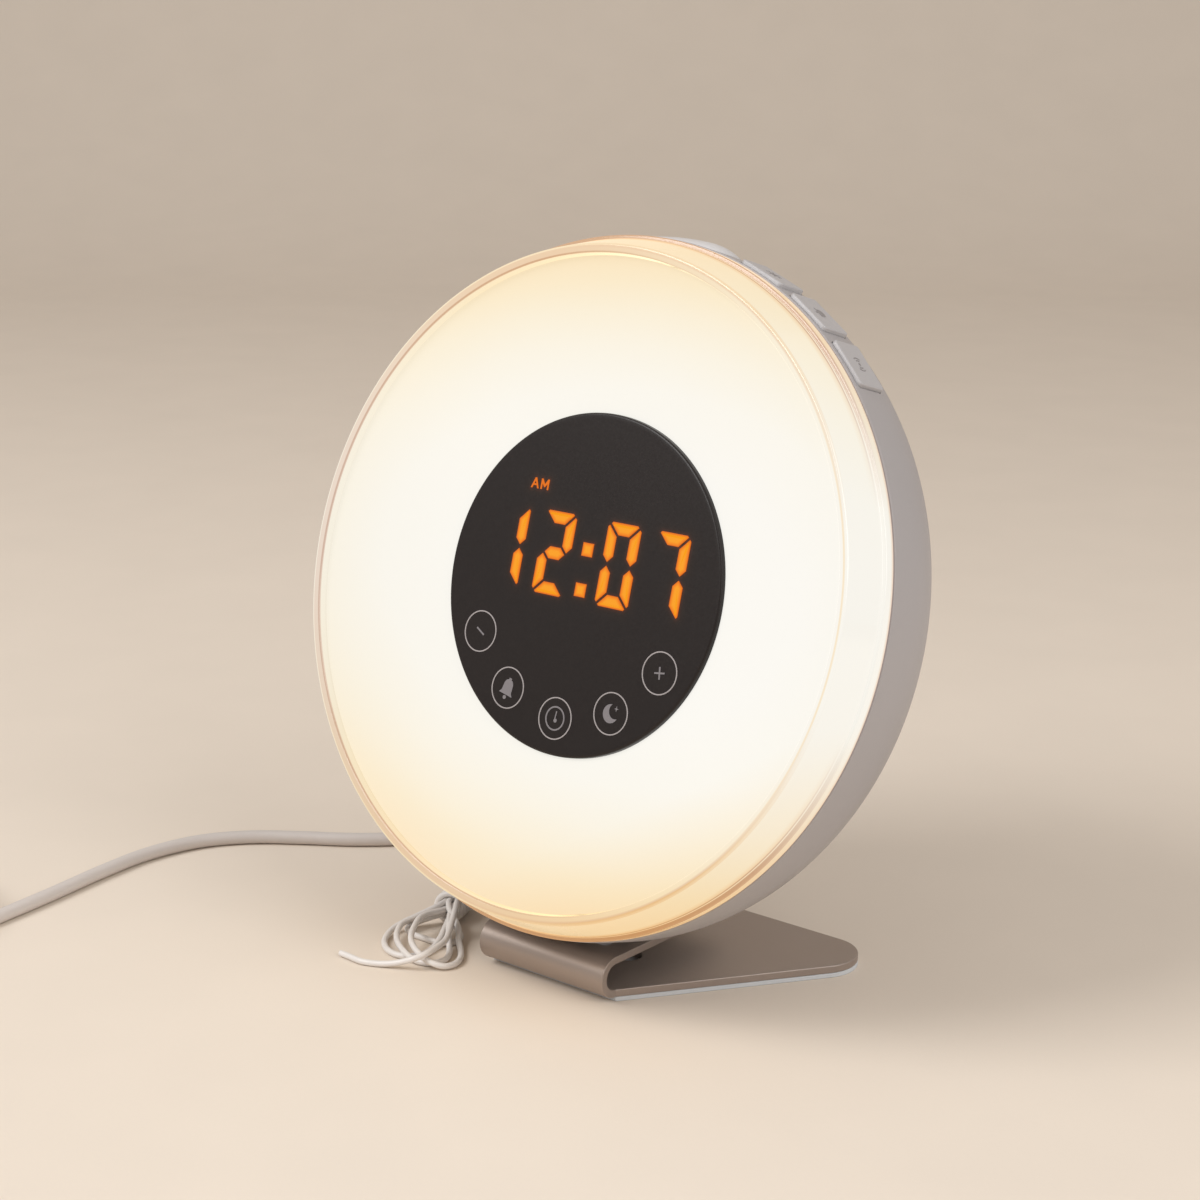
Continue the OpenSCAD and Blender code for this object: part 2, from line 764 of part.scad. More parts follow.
module battery_case() {
    w = cell_pocket_w + 2 * case_wall + 2;
    h = cell_pocket_h + 2 * case_wall;
    translate([-w / 2, cell_y - h / 2, back_z + 0.5]) cube([w, h, cell_floor + case_wall - back_z - 0.5]);
}

module speaker_bosses(r, z0, z1) {
    for (a = [45 : 90 : 315]) translate([0, speaker_y, 0]) rotate(a)
        translate([speaker_r + speaker_ear, 0, z0]) cylinder(r = r, h = z1 - z0);
}

module grille() {
    n = floor((speaker_r - grille_margin) / grille_pitch);
    for (k = [0 : n], i = [0 : max(0, 6 * k - 1)]) translate([0, speaker_y, 0])
        rotate(k == 0 ? 0 : 60 * i / k) translate([k * grille_pitch, 0, back_z - 1])
            cylinder(r = grille_hole_r, h = housing_wall + 2, $fn = 24);
}

module rear_housing() {
    color("gainsboro") difference() {
        union() {
            difference() {
                union() {
                    in_disc() bowl(0);
                    stand_block();
                }
                in_disc() bowl(-housing_wall, 1);
            }
            intersection() {
                in_disc() bowl(-eps);
                union() {
                    stand_pillars();
                    in_disc() {
                        housing_posts();
                        battery_case();
                        speaker_bosses(2, back_z + 1, speaker_seat);
                        translate([jack_x, jack_y, back_z]) cylinder(r = jack_r + 2, h = jack_boss_len);
                    }
                }
            }
            in_disc() translate([aerial_x, aerial_y, aerial_face])
                cylinder(r = aerial_boss_r, h = aerial_boss_len);
        }
        for (p = stand_screws_at) translate([p.x, p.y, flap_top - eps])
            cylinder(r = screw_r + screw_gap, h = block_top - flap_top - 2);
        in_disc() {
            for (a = post_angles) rotate(a) translate([post_circle_r, 0, 0]) {
                translate([0, 0, back_z - 1]) cylinder(r = screw_head_r + fit_gap, h = post_seat - back_z + 1);
                translate([0, 0, post_seat - eps]) cylinder(r = screw_hole_r, h = post_split - post_seat + 1);
            }
            snooze_prism(key_gap, inner_r - 8, housing_r + 1);
            for (a = key_angles)
                along_key(a, lip_top, key_w + 2 * key_gap, key_d + 2 * key_gap, 10, 1 + key_gap);
            grille();
            speaker_bosses(speaker_screw_r + screw_gap, speaker_seat - 3, speaker_seat + eps);
            translate([0, cell_y, back_z - 1]) linear_extrude(cell_floor - back_z + 1)
                square([cell_pocket_w, cell_pocket_h], center = true);
            translate([0, cell_y, back_z - 1]) linear_extrude(door_recess + 1)
                round_rect(door_w + 2 * fit_gap, door_h + 2 * fit_gap, door_corner + fit_gap);
            translate([jack_x, jack_y, back_z - 1]) cylinder(r = jack_r + screw_gap, h = jack_boss_len + 2);
            translate([aerial_x, aerial_y, aerial_face - 1])
                cylinder(r = grommet_r + screw_gap, h = aerial_boss_len + 2);
        }
    }
}

module housing_screws() {
    color("silver") in_disc() for (a = post_angles) rotate(a) translate([post_circle_r, 0, post_seat])
        screw(screw_head_r, screw_head_t, screw_r, housing_screw_len);
}

// ---------- Loudspeaker ----------

module in_speaker() {
    in_disc() translate([0, speaker_y, 0]) children();
}

module speaker_frame() {
    front = back_z + housing_wall;
    ear_r = speaker_r + speaker_ear + 2;
    wall = speaker_wall;
    color("dimgray") in_speaker() difference() {
        rotate_extrude() polygon([[speaker_r - 2, front], [speaker_r, front], [speaker_r, speaker_seat],
            [ear_r, speaker_seat], [ear_r, speaker_seat + wall], [speaker_r - 0.6, speaker_seat + wall],
            [magnet_r + 0.4, speaker_back], [0, speaker_back], [0, speaker_back - wall],
            [magnet_r - 0.4, speaker_back - wall], [speaker_r - 2, speaker_seat]]);
        translate([0, -speaker_y, 0]) speaker_bosses(speaker_screw_r + 0.15, speaker_seat - eps, speaker_seat + 3);
    }
}

module speaker_cone() {
    edge = speaker_r - 2.1;
    rim_z = back_z + housing_wall + 1.2;
    roll = edge - surround_w;
    color("black") in_speaker() rotate_extrude() polygon([[0, rim_z + 3.6], [dome_r, rim_z + 4.6],
        [roll, rim_z + 0.4], [edge, rim_z + 0.4], [edge, rim_z], [roll - 0.2, rim_z],
        [dome_r, rim_z + 3.9], [0, rim_z + 3]]);
}

module speaker_magnet() {
    color("silver") in_speaker() translate([0, 0, speaker_back]) cylinder(r = magnet_r, h = magnet_t);
}

module speaker_screws() {
    color("silver") in_speaker() for (a = [45 : 90 : 315]) rotate(a)
        translate([speaker_r + speaker_ear, 0, speaker_seat + speaker_wall]) mirror([0, 0, 1])
            screw(1.7, 1.1, speaker_screw_r, 3.6);
}

// ---------- Battery ----------

module battery_door() {
    rib = 1.2;
    rib_h = 1.4;
    plate_front = back_z + door_t;
    color("gainsboro") in_disc() translate([0, cell_y, 0]) difference() {
        union() {
            translate([0, 0, back_z]) linear_extrude(door_t) round_rect(door_w, door_h, door_corner);
            for (side = [-1, 1])
                translate([side * (cell_pocket_w / 2 - fit_gap - rib / 2) - rib / 2, -6, plate_front - eps])
                    cube([rib, 12, rib_h]);
        }
        translate([0, door_h / 2 - 3.4, back_z - 5]) cylinder(r = 2.2, h = 5.8);
    }
}

module coin_cell() {
    color("silver") in_disc() translate([0, cell_y, cell_front - cell_t]) cylinder(d = cell_d, h = cell_t);
}

module battery_contacts() {
    clip_w = 6;
    clip_y = cell_y + cell_d / 2 + 0.05;
    clip_back = cell_front - cell_t - contact_t;
    color("gold") in_disc() {
        translate([-2, cell_y - 7, cell_front]) cube([4, 14, contact_t]);
        translate([-clip_w / 2, clip_y, clip_back]) cube([clip_w, contact_t, cell_floor - clip_back]);
        translate([-clip_w / 2, clip_y - 2, clip_back]) cube([clip_w, 2 + eps, contact_t]);
    }
}

// ---------- Power inlet and cord ----------

module power_jack() {
    bore_len = barrel_len + 0.5;
    color("black") in_disc() translate([jack_x, jack_y, jack_face]) {
        difference() {
            cylinder(r = jack_r, h = jack_len);
            translate([0, 0, -eps]) cylinder(r = jack_bore_r, h = bore_len);
        }
        translate([0, 0, 1]) cylinder(r = 0.9, h = bore_len);
    }
}

module power_plug() {
    color("whitesmoke") in_disc() translate([jack_x, jack_y, 0]) {
        translate([0, 0, plug_end]) cylinder(r = handle_r, h = handle_len);
        translate([0, 0, plug_face - eps]) difference() {
            cylinder(r = barrel_d / 2, h = barrel_len);
            translate([0, 0, 0.2]) cylinder(r = 1.1, h = barrel_len);
        }
    }
}

module plug_strain_relief() {
    color("whitesmoke") in_disc() translate([jack_x, jack_y, relief_end])
        cylinder(r1 = cord_d / 2 + 0.3, r2 = handle_r - 1.2, h = relief_len);
}

// Point at share t between b and c on a smooth curve through a, b, c and d
function blend(a, b, c, d, t) = 0.5 * ((2 * b) + (c - a) * t
    + (2 * a - 5 * b + 4 * c - d) * t * t + (3 * b - a - 3 * c + d) * t * t * t);

// Centres of a tube's rings: steps rings in each stretch of the route
function smooth(route, steps) = let (n = len(route)) concat(
    [for (i = [0 : n - 2], k = [0 : steps - 1])
        blend(i == 0 ? 2 * route[0] - route[1] : route[i - 1], route[i], route[i + 1],
              i == n - 2 ? 2 * route[n - 1] - route[n - 2] : route[i + 2], k / steps)],
    [route[n - 1]]);

function unit(v) = v / norm(v);

// A tube of 8 sides along the points
module tube(points, d) {
    sides = 8;
    n = len(points);
    rings = [for (i = [0 : n - 1])
        let (t = unit(points[min(i + 1, n - 1)] - points[max(i - 1, 0)]),
             u = unit(cross(t, [0, 0, 1])), v = cross(u, t))
        for (k = [0 : sides - 1]) points[i] + d / 2 * (u * cos(360 * k / sides) + v * sin(360 * k / sides))];
    skin = [for (i = [0 : n - 2], k = [0 : sides - 1])
        let (a = i * sides + k, b = i * sides + (k + 1) % sides) [a, b, b + sides, a + sides]];
    near_end = [for (k = [sides - 1 : -1 : 0]) k];
    far_end = [for (k = [0 : sides - 1]) (n - 1) * sides + k];
    polyhedron(rings, concat([near_end], skin, [far_end]), convexity = 4);
}

module power_cord() {
    color("whitesmoke") tube(smooth(power_route, 2), cord_d);
}

// Outer shape of the coil, with the straight bit where the cord runs into it
module power_cord_coil() {
    color("whitesmoke") translate([coil_at.x, coil_at.y, 0]) {
        rotate_extrude() translate([coil_mid_r - coil_half, 0]) square([2 * coil_half, coil_h]);
        translate([coil_outer_r, 0, coil_join.z]) rotate([-90, 0, 0])
            cylinder(r = cord_d / 2, h = coil_join.y - coil_at.y);
    }
}

module usb_plug_body() {
    color("whitesmoke") translate([coil_at.x - coil_mid_r - usb_w / 2, usb_y, coil_h])
        cube([usb_w, usb_len, usb_t]);
}

module usb_plug_shell() {
    wall = 0.4;
    color("silver") translate([coil_at.x - coil_mid_r, usb_y + usb_len, coil_h + usb_t / 2])
        rotate([-90, 0, 0]) {
            linear_extrude(usb_shell_len) difference() {
                square([usb_shell_w, usb_shell_t], center = true);
                square([usb_shell_w - 2 * wall, usb_shell_t - 2 * wall], center = true);
            }
            translate([-usb_shell_w / 2 + wall, 0.2, 0])
                cube([usb_shell_w - 2 * wall, usb_shell_t / 2 - wall - 0.2, usb_shell_len - 1]);
        }
}

// ---------- Aerial ----------

module aerial_grommet() {
    color("whitesmoke") in_disc() translate([aerial_x, aerial_y, aerial_face - grommet_lip]) {
        cylinder(r = grommet_r + 1, h = grommet_lip);
        cylinder(r = grommet_r, h = grommet_lip + aerial_boss_len + 1);
    }
}

module aerial_lead() {
    color("white") tube(smooth(aerial_route, 2), aerial_d);
}

// Outer shape of the tied loops that lie beside the stand
module aerial_hank() {
    run = hank_to - hank_from;
    color("white") translate([hank_from.x, hank_from.y, 0]) rotate(atan2(run.y, run.x))
        linear_extrude(hank_h) {
            circle(d = hank_w);
            translate([0, -hank_w / 2]) square([norm(run), hank_w]);
            translate([norm(run), 0]) circle(d = hank_w);
        }
}

module aerial_tail() {
    color("white") tube(smooth(tail_route, 2), aerial_d);
}

// ---------- Stand ----------

// Outline of the foot, from the fold to the rounded rear corners
function foot_outline() =
    let (from = [waist_w / 2, fold_y], mid = [corner_x, corner_y], reach = norm(mid - from),
         side = atan2(mid.y - from.y, mid.x - from.x) - asin(corner_r / reach),
         right = concat([from], circle_points(mid.x, mid.y, corner_r, side - 90, 90)))
    concat(right, [for (i = [len(right) - 1 : -1 : 0]) [-right[i].x, right[i].y]]);

module stand() {
    color([0.62, 0.57, 0.52]) difference() {
        union() {
            translate([0, 0, pad_t]) linear_extrude(sheet_t) polygon(foot_outline());
            translate([-waist_w / 2, fold_y, fold_z]) intersection() {
                rotate([0, 90, 0]) difference() {
                    cylinder(r = fold_r, h = waist_w);
                    translate([0, 0, -eps]) cylinder(r = fold_r - sheet_t, h = waist_w + 2 * eps);
                }
                translate([-1, -fold_r - 1, -fold_r - 1]) cube([waist_w + 2, fold_r + 1, 2 * fold_r + 2]);
            }
            translate([-waist_w / 2, fold_y, flap_bottom]) cube([waist_w, flap_len, sheet_t]);
        }
        for (p = stand_screws_at) translate([p.x, p.y, 0]) {
            translate([0, 0, flap_bottom - eps]) cylinder(r = screw_hole_r, h = sheet_t + 2 * eps);
            translate([0, 0, pad_t - eps]) cylinder(r = driver_hole_r, h = sheet_t + 2 * eps);
        }
    }
}

module stand_screws() {
    color("silver") for (p = stand_screws_at) translate([p.x, p.y, flap_bottom])
        screw(screw_head_r, screw_head_t, screw_r, stand_screw_len);
}

module foot_pad() {
    color("lightgray") linear_extrude(pad_t) polygon(foot_outline());
}

clear_rim();
diffuser_face();
touch_panel();
display_digits();
touch_icons();
display_module();
touch_board();
touch_springs();
display_holder();
led_board();
leds();
front_chassis();
main_board();
board_chips();
board_screws();
ribbon_cable();
snooze_button();
key_light();
key_alarm();
key_radio();
key_board();
key_switches();
rear_housing();
housing_screws();
speaker_frame();
speaker_cone();
speaker_magnet();
speaker_screws();
battery_door();
coin_cell();
battery_contacts();
power_jack();
stand();
stand_screws();
foot_pad();
power_plug();
plug_strain_relief();
power_cord();
power_cord_coil();
usb_plug_body();
usb_plug_shell();
aerial_grommet();
aerial_lead();
aerial_hank();
aerial_tail();
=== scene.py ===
# %% [markdown]
# # A sunrise alarm clock, from solids to a finished object
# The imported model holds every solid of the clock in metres, with its moving bodies. This lesson
# dresses it: turned plastic, a lit face, a brushed foot, moulded keys and two soft cords. The frame
# is loaded first, so that each new piece goes where its solid is, with no fitting by eye.

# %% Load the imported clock
import math

import bmesh
import bpy
from mathutils import Matrix, Vector


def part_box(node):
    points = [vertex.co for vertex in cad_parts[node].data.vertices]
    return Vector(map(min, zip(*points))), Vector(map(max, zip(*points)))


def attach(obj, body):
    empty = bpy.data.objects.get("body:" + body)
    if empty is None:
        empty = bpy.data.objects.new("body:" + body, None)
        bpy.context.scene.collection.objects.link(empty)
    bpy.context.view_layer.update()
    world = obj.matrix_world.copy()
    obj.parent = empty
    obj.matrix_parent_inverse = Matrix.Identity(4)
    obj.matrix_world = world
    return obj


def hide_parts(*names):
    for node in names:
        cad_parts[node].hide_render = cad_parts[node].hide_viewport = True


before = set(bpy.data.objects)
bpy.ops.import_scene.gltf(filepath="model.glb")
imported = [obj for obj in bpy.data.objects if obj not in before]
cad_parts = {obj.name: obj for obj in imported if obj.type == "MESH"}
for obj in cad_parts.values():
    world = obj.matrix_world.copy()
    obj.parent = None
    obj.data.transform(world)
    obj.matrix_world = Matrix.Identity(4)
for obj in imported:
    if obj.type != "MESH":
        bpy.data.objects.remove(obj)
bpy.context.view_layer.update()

# %% [markdown]
# ## Two places to measure from
# The lamp leans back, so its pieces are easiest to write in a frame of its own: x to the right, y up
# the face and z out of it, in millimetres. One matrix carries such points into the room. Pieces that
# stand on the table use plain millimetres of the room.

# %% The leaning frame of the lamp
MM = 0.001
TILT = math.radians(16.6)
LAMP_Y = -20.0
LAMP_Z = 99.687
X_WAY, Y_WAY, Z_WAY = (1, 0, 0), (0, 1, 0), (0, 0, 1)
IN_ROOM = Matrix.Scale(MM, 4)
TO_LAMP = Matrix.Translation(Vector((0, LAMP_Y, LAMP_Z)) * MM)
ON_LAMP = TO_LAMP @ Matrix.Rotation(math.radians(90) - TILT, 4, "X") @ IN_ROOM


def axes(x, y, z, at=(0, 0, 0)):
    """A frame from the ways that its x, y and z point and the place of its origin."""
    return Matrix.Translation(at) @ Matrix((x, y, z)).transposed().to_4x4()


def polar(r, degrees, x=0, y=0):
    """A point on a circle about x, y."""
    angle = math.radians(degrees)
    return x + r * math.cos(angle), y + r * math.sin(angle)


panel_low, panel_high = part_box("touch_panel")
print("panel is", round((panel_high.x - panel_low.x) / MM, 2), "mm wide")

# %% [markdown]
# ## The camera
# A long lens from the right and a little above gives calm, nearly parallel edges.

# %% Camera
CAMERA_AT = (0.38036, -0.46438, 0.25222)
CAMERA_ROUND, CAMERA_DOWN = 40.09, 14.97


def link(name, data):
    """A new object with this data in the scene, at the origin."""
    thing = bpy.data.objects.new(name, data)
    bpy.context.scene.collection.objects.link(thing)
    return thing


camera = link("camera", bpy.data.cameras.new("camera"))
camera.location = CAMERA_AT
camera.rotation_euler = (math.radians(90 - CAMERA_DOWN), 0, math.radians(CAMERA_ROUND))
camera.data.lens = 75
camera.data.sensor_width = 36
camera.data.clip_start = 0.01
bpy.context.scene.camera = camera
print("camera lens:", camera.data.lens)

# %% [markdown]
# ## Making pieces
# Every piece is a mesh in metres whose object stays at the origin. A small helper turns a bmesh in
# millimetres into such a piece, points its faces outward and keeps hard edges hard. Most shapes are
# a skin over rows of points, so one function joins such rows.

# %% Helpers for new pieces
HARD_EDGE = 32


def smooth(piece, hard=HARD_EDGE):
    """Smooth shading that stops at edges sharper than an angle."""
    piece.data.shade_smooth()
    piece.data.set_sharp_from_angle(angle=math.radians(hard))
    return piece


def fill(mesh, shape, place):
    """Puts a bmesh into a mesh, with its faces outward and its points in their place."""
    bmesh.ops.recalc_face_normals(shape, faces=shape.faces[:])
    shape.transform(place)
    shape.to_mesh(mesh)
    shape.free()


def new_piece(name, shape, place, material, hard=HARD_EDGE):
    """A piece from a bmesh in millimetres."""
    mesh = bpy.data.meshes.new(name)
    fill(mesh, shape, place)
    if material:
        mesh.materials.append(material)
    return smooth(link(name, mesh), hard)


def skin(shape, rows, loop=False):
    """Joins closed rows of points. The end rows are capped, or joined to each other in a loop."""
    rows = [[shape.verts.new(point) for point in row] for row in rows]
    for low, high in zip(rows, rows[1:] + rows[:1] if loop else rows[1:]):
        for i in range(len(low)):
            j = (i + 1) % len(low)
            shape.faces.new((low[i], low[j], high[j], high[i]))
    if not loop:
        shape.faces.new(rows[0])
        shape.faces.new(rows[-1])
    return rows


def stacked(name, levels, place, material, loop=False):
    """A solid through (outline, height) levels whose outlines have as many points each."""
    shape = bmesh.new()
    skin(shape, [[(x, y, z) for x, y in outline] for outline, z in levels], loop)
    return new_piece(name, shape, place, material)


def solids(name, prisms, material=None):
    """One mesh of several prisms, each given as (place, outline, low, high)."""
    shape = bmesh.new()
    for place, outline, low, high in prisms:
        skin(shape, [[place @ Vector((x, y, z)) for x, y in outline] for z in (low, high)])
    return new_piece(name, shape, Matrix.Identity(4), material)


def faces_of(*pieces):
    """How many faces each piece has."""
    return [len(piece.data.polygons) for piece in pieces]


def keep_result(piece):
    """Applies a piece's modifiers and leaves a plain mesh."""
    graph = bpy.context.evaluated_depsgraph_get()
    mesh = bpy.data.meshes.new_from_object(piece.evaluated_get(graph))
    piece.modifiers.clear()
    piece.data = mesh
    return piece


print("helpers ready, hard edges from", HARD_EDGE, "degrees")

# %% [markdown]
# ## The two cords come first
# A cord is a fixed length of something flexible. The power cord leaves the back of the lamp, drops to
# the table and runs along it, and the rest is wound in a neat coil with its plug on top.

# %% A cord as one smooth curve
def cord_piece(name, route, thickness):
    """A round cord along points in millimetres of the room."""
    curve = bpy.data.curves.new(name, "CURVE")
    curve.dimensions = "3D"
    curve.bevel_depth = thickness / 2 * MM
    curve.bevel_resolution = 5
    curve.resolution_u = 5
    curve.use_fill_caps = True
    line = curve.splines.new("BEZIER")
    line.bezier_points.add(len(route) - 1)
    points = [Vector(point) * MM for point in route]
    for i, knot in enumerate(line.bezier_points):
        here, last, ahead = points[i], points[max(i - 1, 0)], points[min(i + 1, len(points) - 1)]
        way = (here - last).normalized() + (ahead - here).normalized()
        way.normalize()
        knot.co = here
        knot.handle_left_type = knot.handle_right_type = "FREE"
        knot.handle_left = here - way * (here - last).length / 3
        knot.handle_right = here + way * (ahead - here).length / 3
    print(name, "has", len(route), "points")
    return link(name, curve)


# %% [markdown]
# The coil has three turns side by side in three layers. A neat winding moves over by one cord's width
# in each whole turn, so the seat of a turn in the coil's section changes slowly, in and out again.

# %% Power cord
CORD_D = 3.8
COIL_X, COIL_Y = -159.95, -122.0
COIL_OUT_R = 24.65
COIL_PITCH = 3.85
COIL_LOW_Z = 1.925
SEATS = [(0, 0), (1, 0), (2, 0), (2, 1), (1, 1), (0, 1), (0, 2), (1, 2), (2, 2)]
TURN_X, TURN_Y, TURN_R = -166.77, -133.0, 14.0
PLUG_REST_Z, PLUG_Z = 13.5, 15.35
BULGE, TIE_LIFT = 0.29, 0.4


def coil_point(turn, lift=0.0):
    """The cord's centre after so many turns, in millimetres of the room."""
    k = min(int(turn), len(SEATS) - 2)
    share = turn - k
    (in_a, up_a), (in_b, up_b) = SEATS[k], SEATS[k + 1]
    bulge = BULGE * math.sin(math.pi * share) * (in_a - 1) if in_a == in_b else 0
    radius = COIL_OUT_R - (in_a + (in_b - in_a) * share + bulge) * COIL_PITCH
    angle = -2 * math.pi * turn
    under_tie = TIE_LIFT * max(0, math.cos(angle - math.pi / 2)) ** 8
    up = up_a + (up_b - up_a) * share
    return (COIL_X + radius * math.cos(angle), COIL_Y + radius * math.sin(angle),
            COIL_LOW_Z + up * COIL_PITCH + under_tie + lift)


ON_TABLE = [
    (-79.5, 41), (-85.5, 28), (-94.5, 15), (-106, 4), (-118.5, -4.6), (-130, -13.6), (-138.2, -25),
    (-141.8, -41), (-140.8, -58), (-138.2, -76), (-136.3, -92), (-135.3, -104), (-135.3, -114),
]
power_route = [(-40, 48.61, 37.49), (-40.5, 56, 34.8), (-43, 63, 30), (-48, 68, 22), (-56, 69, 13),
               (-66, 64, 6), (-74, 54, 2.7)]
power_route += [(x, y, 1.95) for x, y in ON_TABLE]
power_route += [coil_point(i / 16) for i in range(125)]
power_route += [coil_point(7.75 + step * 0.075, 3.3 * math.sin(step / 10 * math.pi) ** 2)
                for step in range(1, 6)]
power_route += [(-151.2, -137.2, 13.3), (-154.6, -140.7, PLUG_REST_Z)]
power_route += [(*polar(TURN_R, -45 - step * 22.5, TURN_X, TURN_Y), PLUG_REST_Z + 1.85 * (step / 6) ** 2)
                for step in range(7)]
power_route.append((TURN_X - TURN_R, TURN_Y + 2, PLUG_Z))
power_cord = cord_piece("power_cord_run", power_route, CORD_D)

# %% [markdown]
# The aerial is a thin wire. It hangs from the back, and its spare length is wound in a few loose
# loops with the last turns wrapped tightly round their neck. The bare end sticks out. The loops are
# points in the room, and the neck's points are given by how far down, aside and up they are.

# %% Aerial wire
AERIAL_D = 1.6
NECK_TOP, NECK_LOW = Vector((-48.6, -11.0, 4.4)), Vector((-45.0, -22.0, 4.3))
NECK_LEN = (NECK_LOW - NECK_TOP).length
NECK_ALONG = (NECK_LOW - NECK_TOP).normalized()
NECK_SIDE = Vector((NECK_ALONG.y, -NECK_ALONG.x, 0)).normalized()
NECK_UP = NECK_SIDE.cross(NECK_ALONG)
if NECK_UP.z < 0:
    NECK_UP = -NECK_UP
WRAPS, WRAP_R = 4.5, 3.5


def neck_point(share, side, up):
    """A point in the tied neck: share of the way down it, side toward the left, up from its middle."""
    return tuple(NECK_TOP.lerp(NECK_LOW, share) + NECK_SIDE * side + NECK_UP * up)


LOOPS = [
    [(-48.9, -25.7, 1.9), (-50.4, -28.9, 1.0), (-49.3, -31.9, 0.9), (-46.0, -33.3, 0.9),
     (-41.6, -33.4, 0.9), (-37.7, -33.2, 0.9), (-35.0, -32.1, 0.9), (-33.9, -29.5, 0.95),
     (-35.0, -26.9, 1.2), (-38.3, -24.9, 1.7)],
    [(-50.9, -30.6, 2.4), (-51.4, -34.8, 1.6), (-49.9, -39.2, 1.0), (-47.0, -42.7, 0.9),
     (-42.8, -45.2, 0.9), (-39.3, -45.6, 0.9), (-36.3, -44.2, 0.9), (-35.0, -41.0, 0.9),
     (-35.4, -37.1, 1.0), (-36.4, -33.2, 2.2), (-38.7, -29.3, 2.6)],
    [(-48.7, -29.9, 3.8), (-49.4, -33.3, 3.2), (-47.5, -37.4, 2.6), (-43.4, -41.6, 2.3),
     (-38.6, -44.4, 2.0), (-35.2, -45.4, 1.4), (-31.9, -45.3, 0.95), (-29.0, -43.7, 0.9),
     (-28.0, -40.7, 0.9), (-29.3, -37.4, 0.95), (-32.0, -34.3, 1.6), (-35.2, -31.2, 3.2)],
    [(-44.8, -31.1, 5.4), (-42.4, -36.3, 5.0), (-39.1, -41.0, 4.2), (-35.6, -43.6, 3.6),
     (-31.6, -45.0, 2.7), (-27.7, -45.5, 2.0), (-25.0, -43.8, 1.2), (-24.2, -40.9, 0.95),
     (-25.3, -37.7, 0.95), (-28.7, -33.6, 1.1), (-32.0, -30.8, 2.0), (-35.3, -27.3, 3.2)],
]
TAIL = [
    (-36.2, -28.8, 5.6), (-33.3, -33.0, 4.9), (-30.4, -37.6, 4.6), (-29.3, -41.6, 4.5),
    (-28.9, -46.2, 4.2), (-30.4, -48.8, 3.4), (-33.2, -50.0, 2.2), (-35.8, -51.2, 1.4),
    (-39.3, -52.8, 0.9), (-43.5, -54.4, 0.9), (-48.1, -54.2, 0.9), (-51.3, -54.1, 0.9),
]
GOING_DOWN = [(1.15, -1.44), (1.84, 0), (1.15, 1.44), (0, 0.1)]
COMING_UP = [(-0.41, -1.79), (-1.66, -0.8), (-1.66, 0.8), (-0.41, 1.79)]
OVER_TOP = [(0.62, 0.3), (0.5, 0.1), (0.5, 0.1)]
TO_THE_WRAPS = [(-0.3, -0.33, 2.42), (-0.57, -0.58, 3.35), (-0.77, 0, 3.86), (-0.9, 1.4, 4.2),
                (-0.94, 3.19, 4.52), (-0.91, 4.94, 4.61), (-0.78, 6.39, 4.56), (-0.56, 6.95, 4.4),
                (-0.35, 6.32, 4.32), (-0.17, 5.4, 3.5), (-0.05, 4.4, 2.4), (0.01, 3.75, 1.2)]
TO_THE_TAIL = [(0.91, -3.53, 0.8), (0.99, -3.89, 2.86), (1.17, -4.56, 4.19), (1.5, -5.7, 3.5)]


def over_the_top(k):
    """The wire's turn at the neck's top between two loops, from the right side to the left."""
    reach = 4.1 + 0.1 * k
    back, aside = OVER_TOP[k]
    points = []
    for step in range(8):
        side, away = polar(reach, 200 - 31 * step)
        up = COMING_UP[k][1] + (GOING_DOWN[k + 1][1] - COMING_UP[k][1]) * step / 7
        points.append(neck_point(-back - 1.15 * away / NECK_LEN, aside + side,
                                 up + 0.9 * math.sin(math.pi * step / 7)))
    return points


GROMMET = (-52, -48, -41.575)
aerial_route = [tuple(ON_LAMP @ Vector(GROMMET) / MM), (-52, 12, 39), (-52, 15, 34),
                (-51.6, 15, 27), (-51, 11, 19), (-50.3, 4, 12.5), (-49.8, -3, 8.2)]
for k, loop in enumerate(LOOPS):
    aerial_route += [neck_point(share, *GOING_DOWN[k]) for share in (0.1, 0.5, 0.9)]
    aerial_route += loop
    aerial_route += [neck_point(share, *COMING_UP[k]) for share in (0.9, 0.5, 0.1)]
    if k < len(OVER_TOP):
        aerial_route += over_the_top(k)
aerial_route += [neck_point(*point) for point in TO_THE_WRAPS]
for step in range(int(WRAPS * 12) + 1):
    aerial_route.append(neck_point(0.05 + 0.85 * step / 12 / WRAPS, *polar(WRAP_R, -30 * step)))
aerial_route += [neck_point(*point) for point in TO_THE_TAIL]
aerial_route += TAIL
aerial = cord_piece("aerial_wire", aerial_route, AERIAL_D)

# %% [markdown]
# ## Node trees that read like sums
# A rule for a shape or a surface is a tree of nodes. Wiring each node by hand is long, so a node's
# output is kept in a small class: adding or multiplying two of them adds the math node.

# %% A class and three helpers for node trees
class Flow:
    """One output of a node. A title in brackets names another output of the same node."""

    def __init__(self, tree, node, out=0):
        self.tree, self.node, self.out = tree, node, out

    def __getitem__(self, out):
        return Flow(self.tree, self.node, out)

    def __add__(self, other):
        return calc("ADD", self, other)

    def __sub__(self, other):
        return calc("SUBTRACT", self, other)

    def __mul__(self, other):
        return calc("MULTIPLY", self, other)

    def __pow__(self, other):
        return calc("POWER", self, other)


def feed(node, **values):
    """Sets a node's inputs by title, each from a flow or a plain value."""
    for title, value in values.items():
        socket = node.inputs[int(title[1:]) if title[0] == "_" else title.replace("_", " ")]
        if isinstance(value, Flow):
            value.tree.links.new(value.node.outputs[value.out], socket)
        else:
            socket.default_value = value


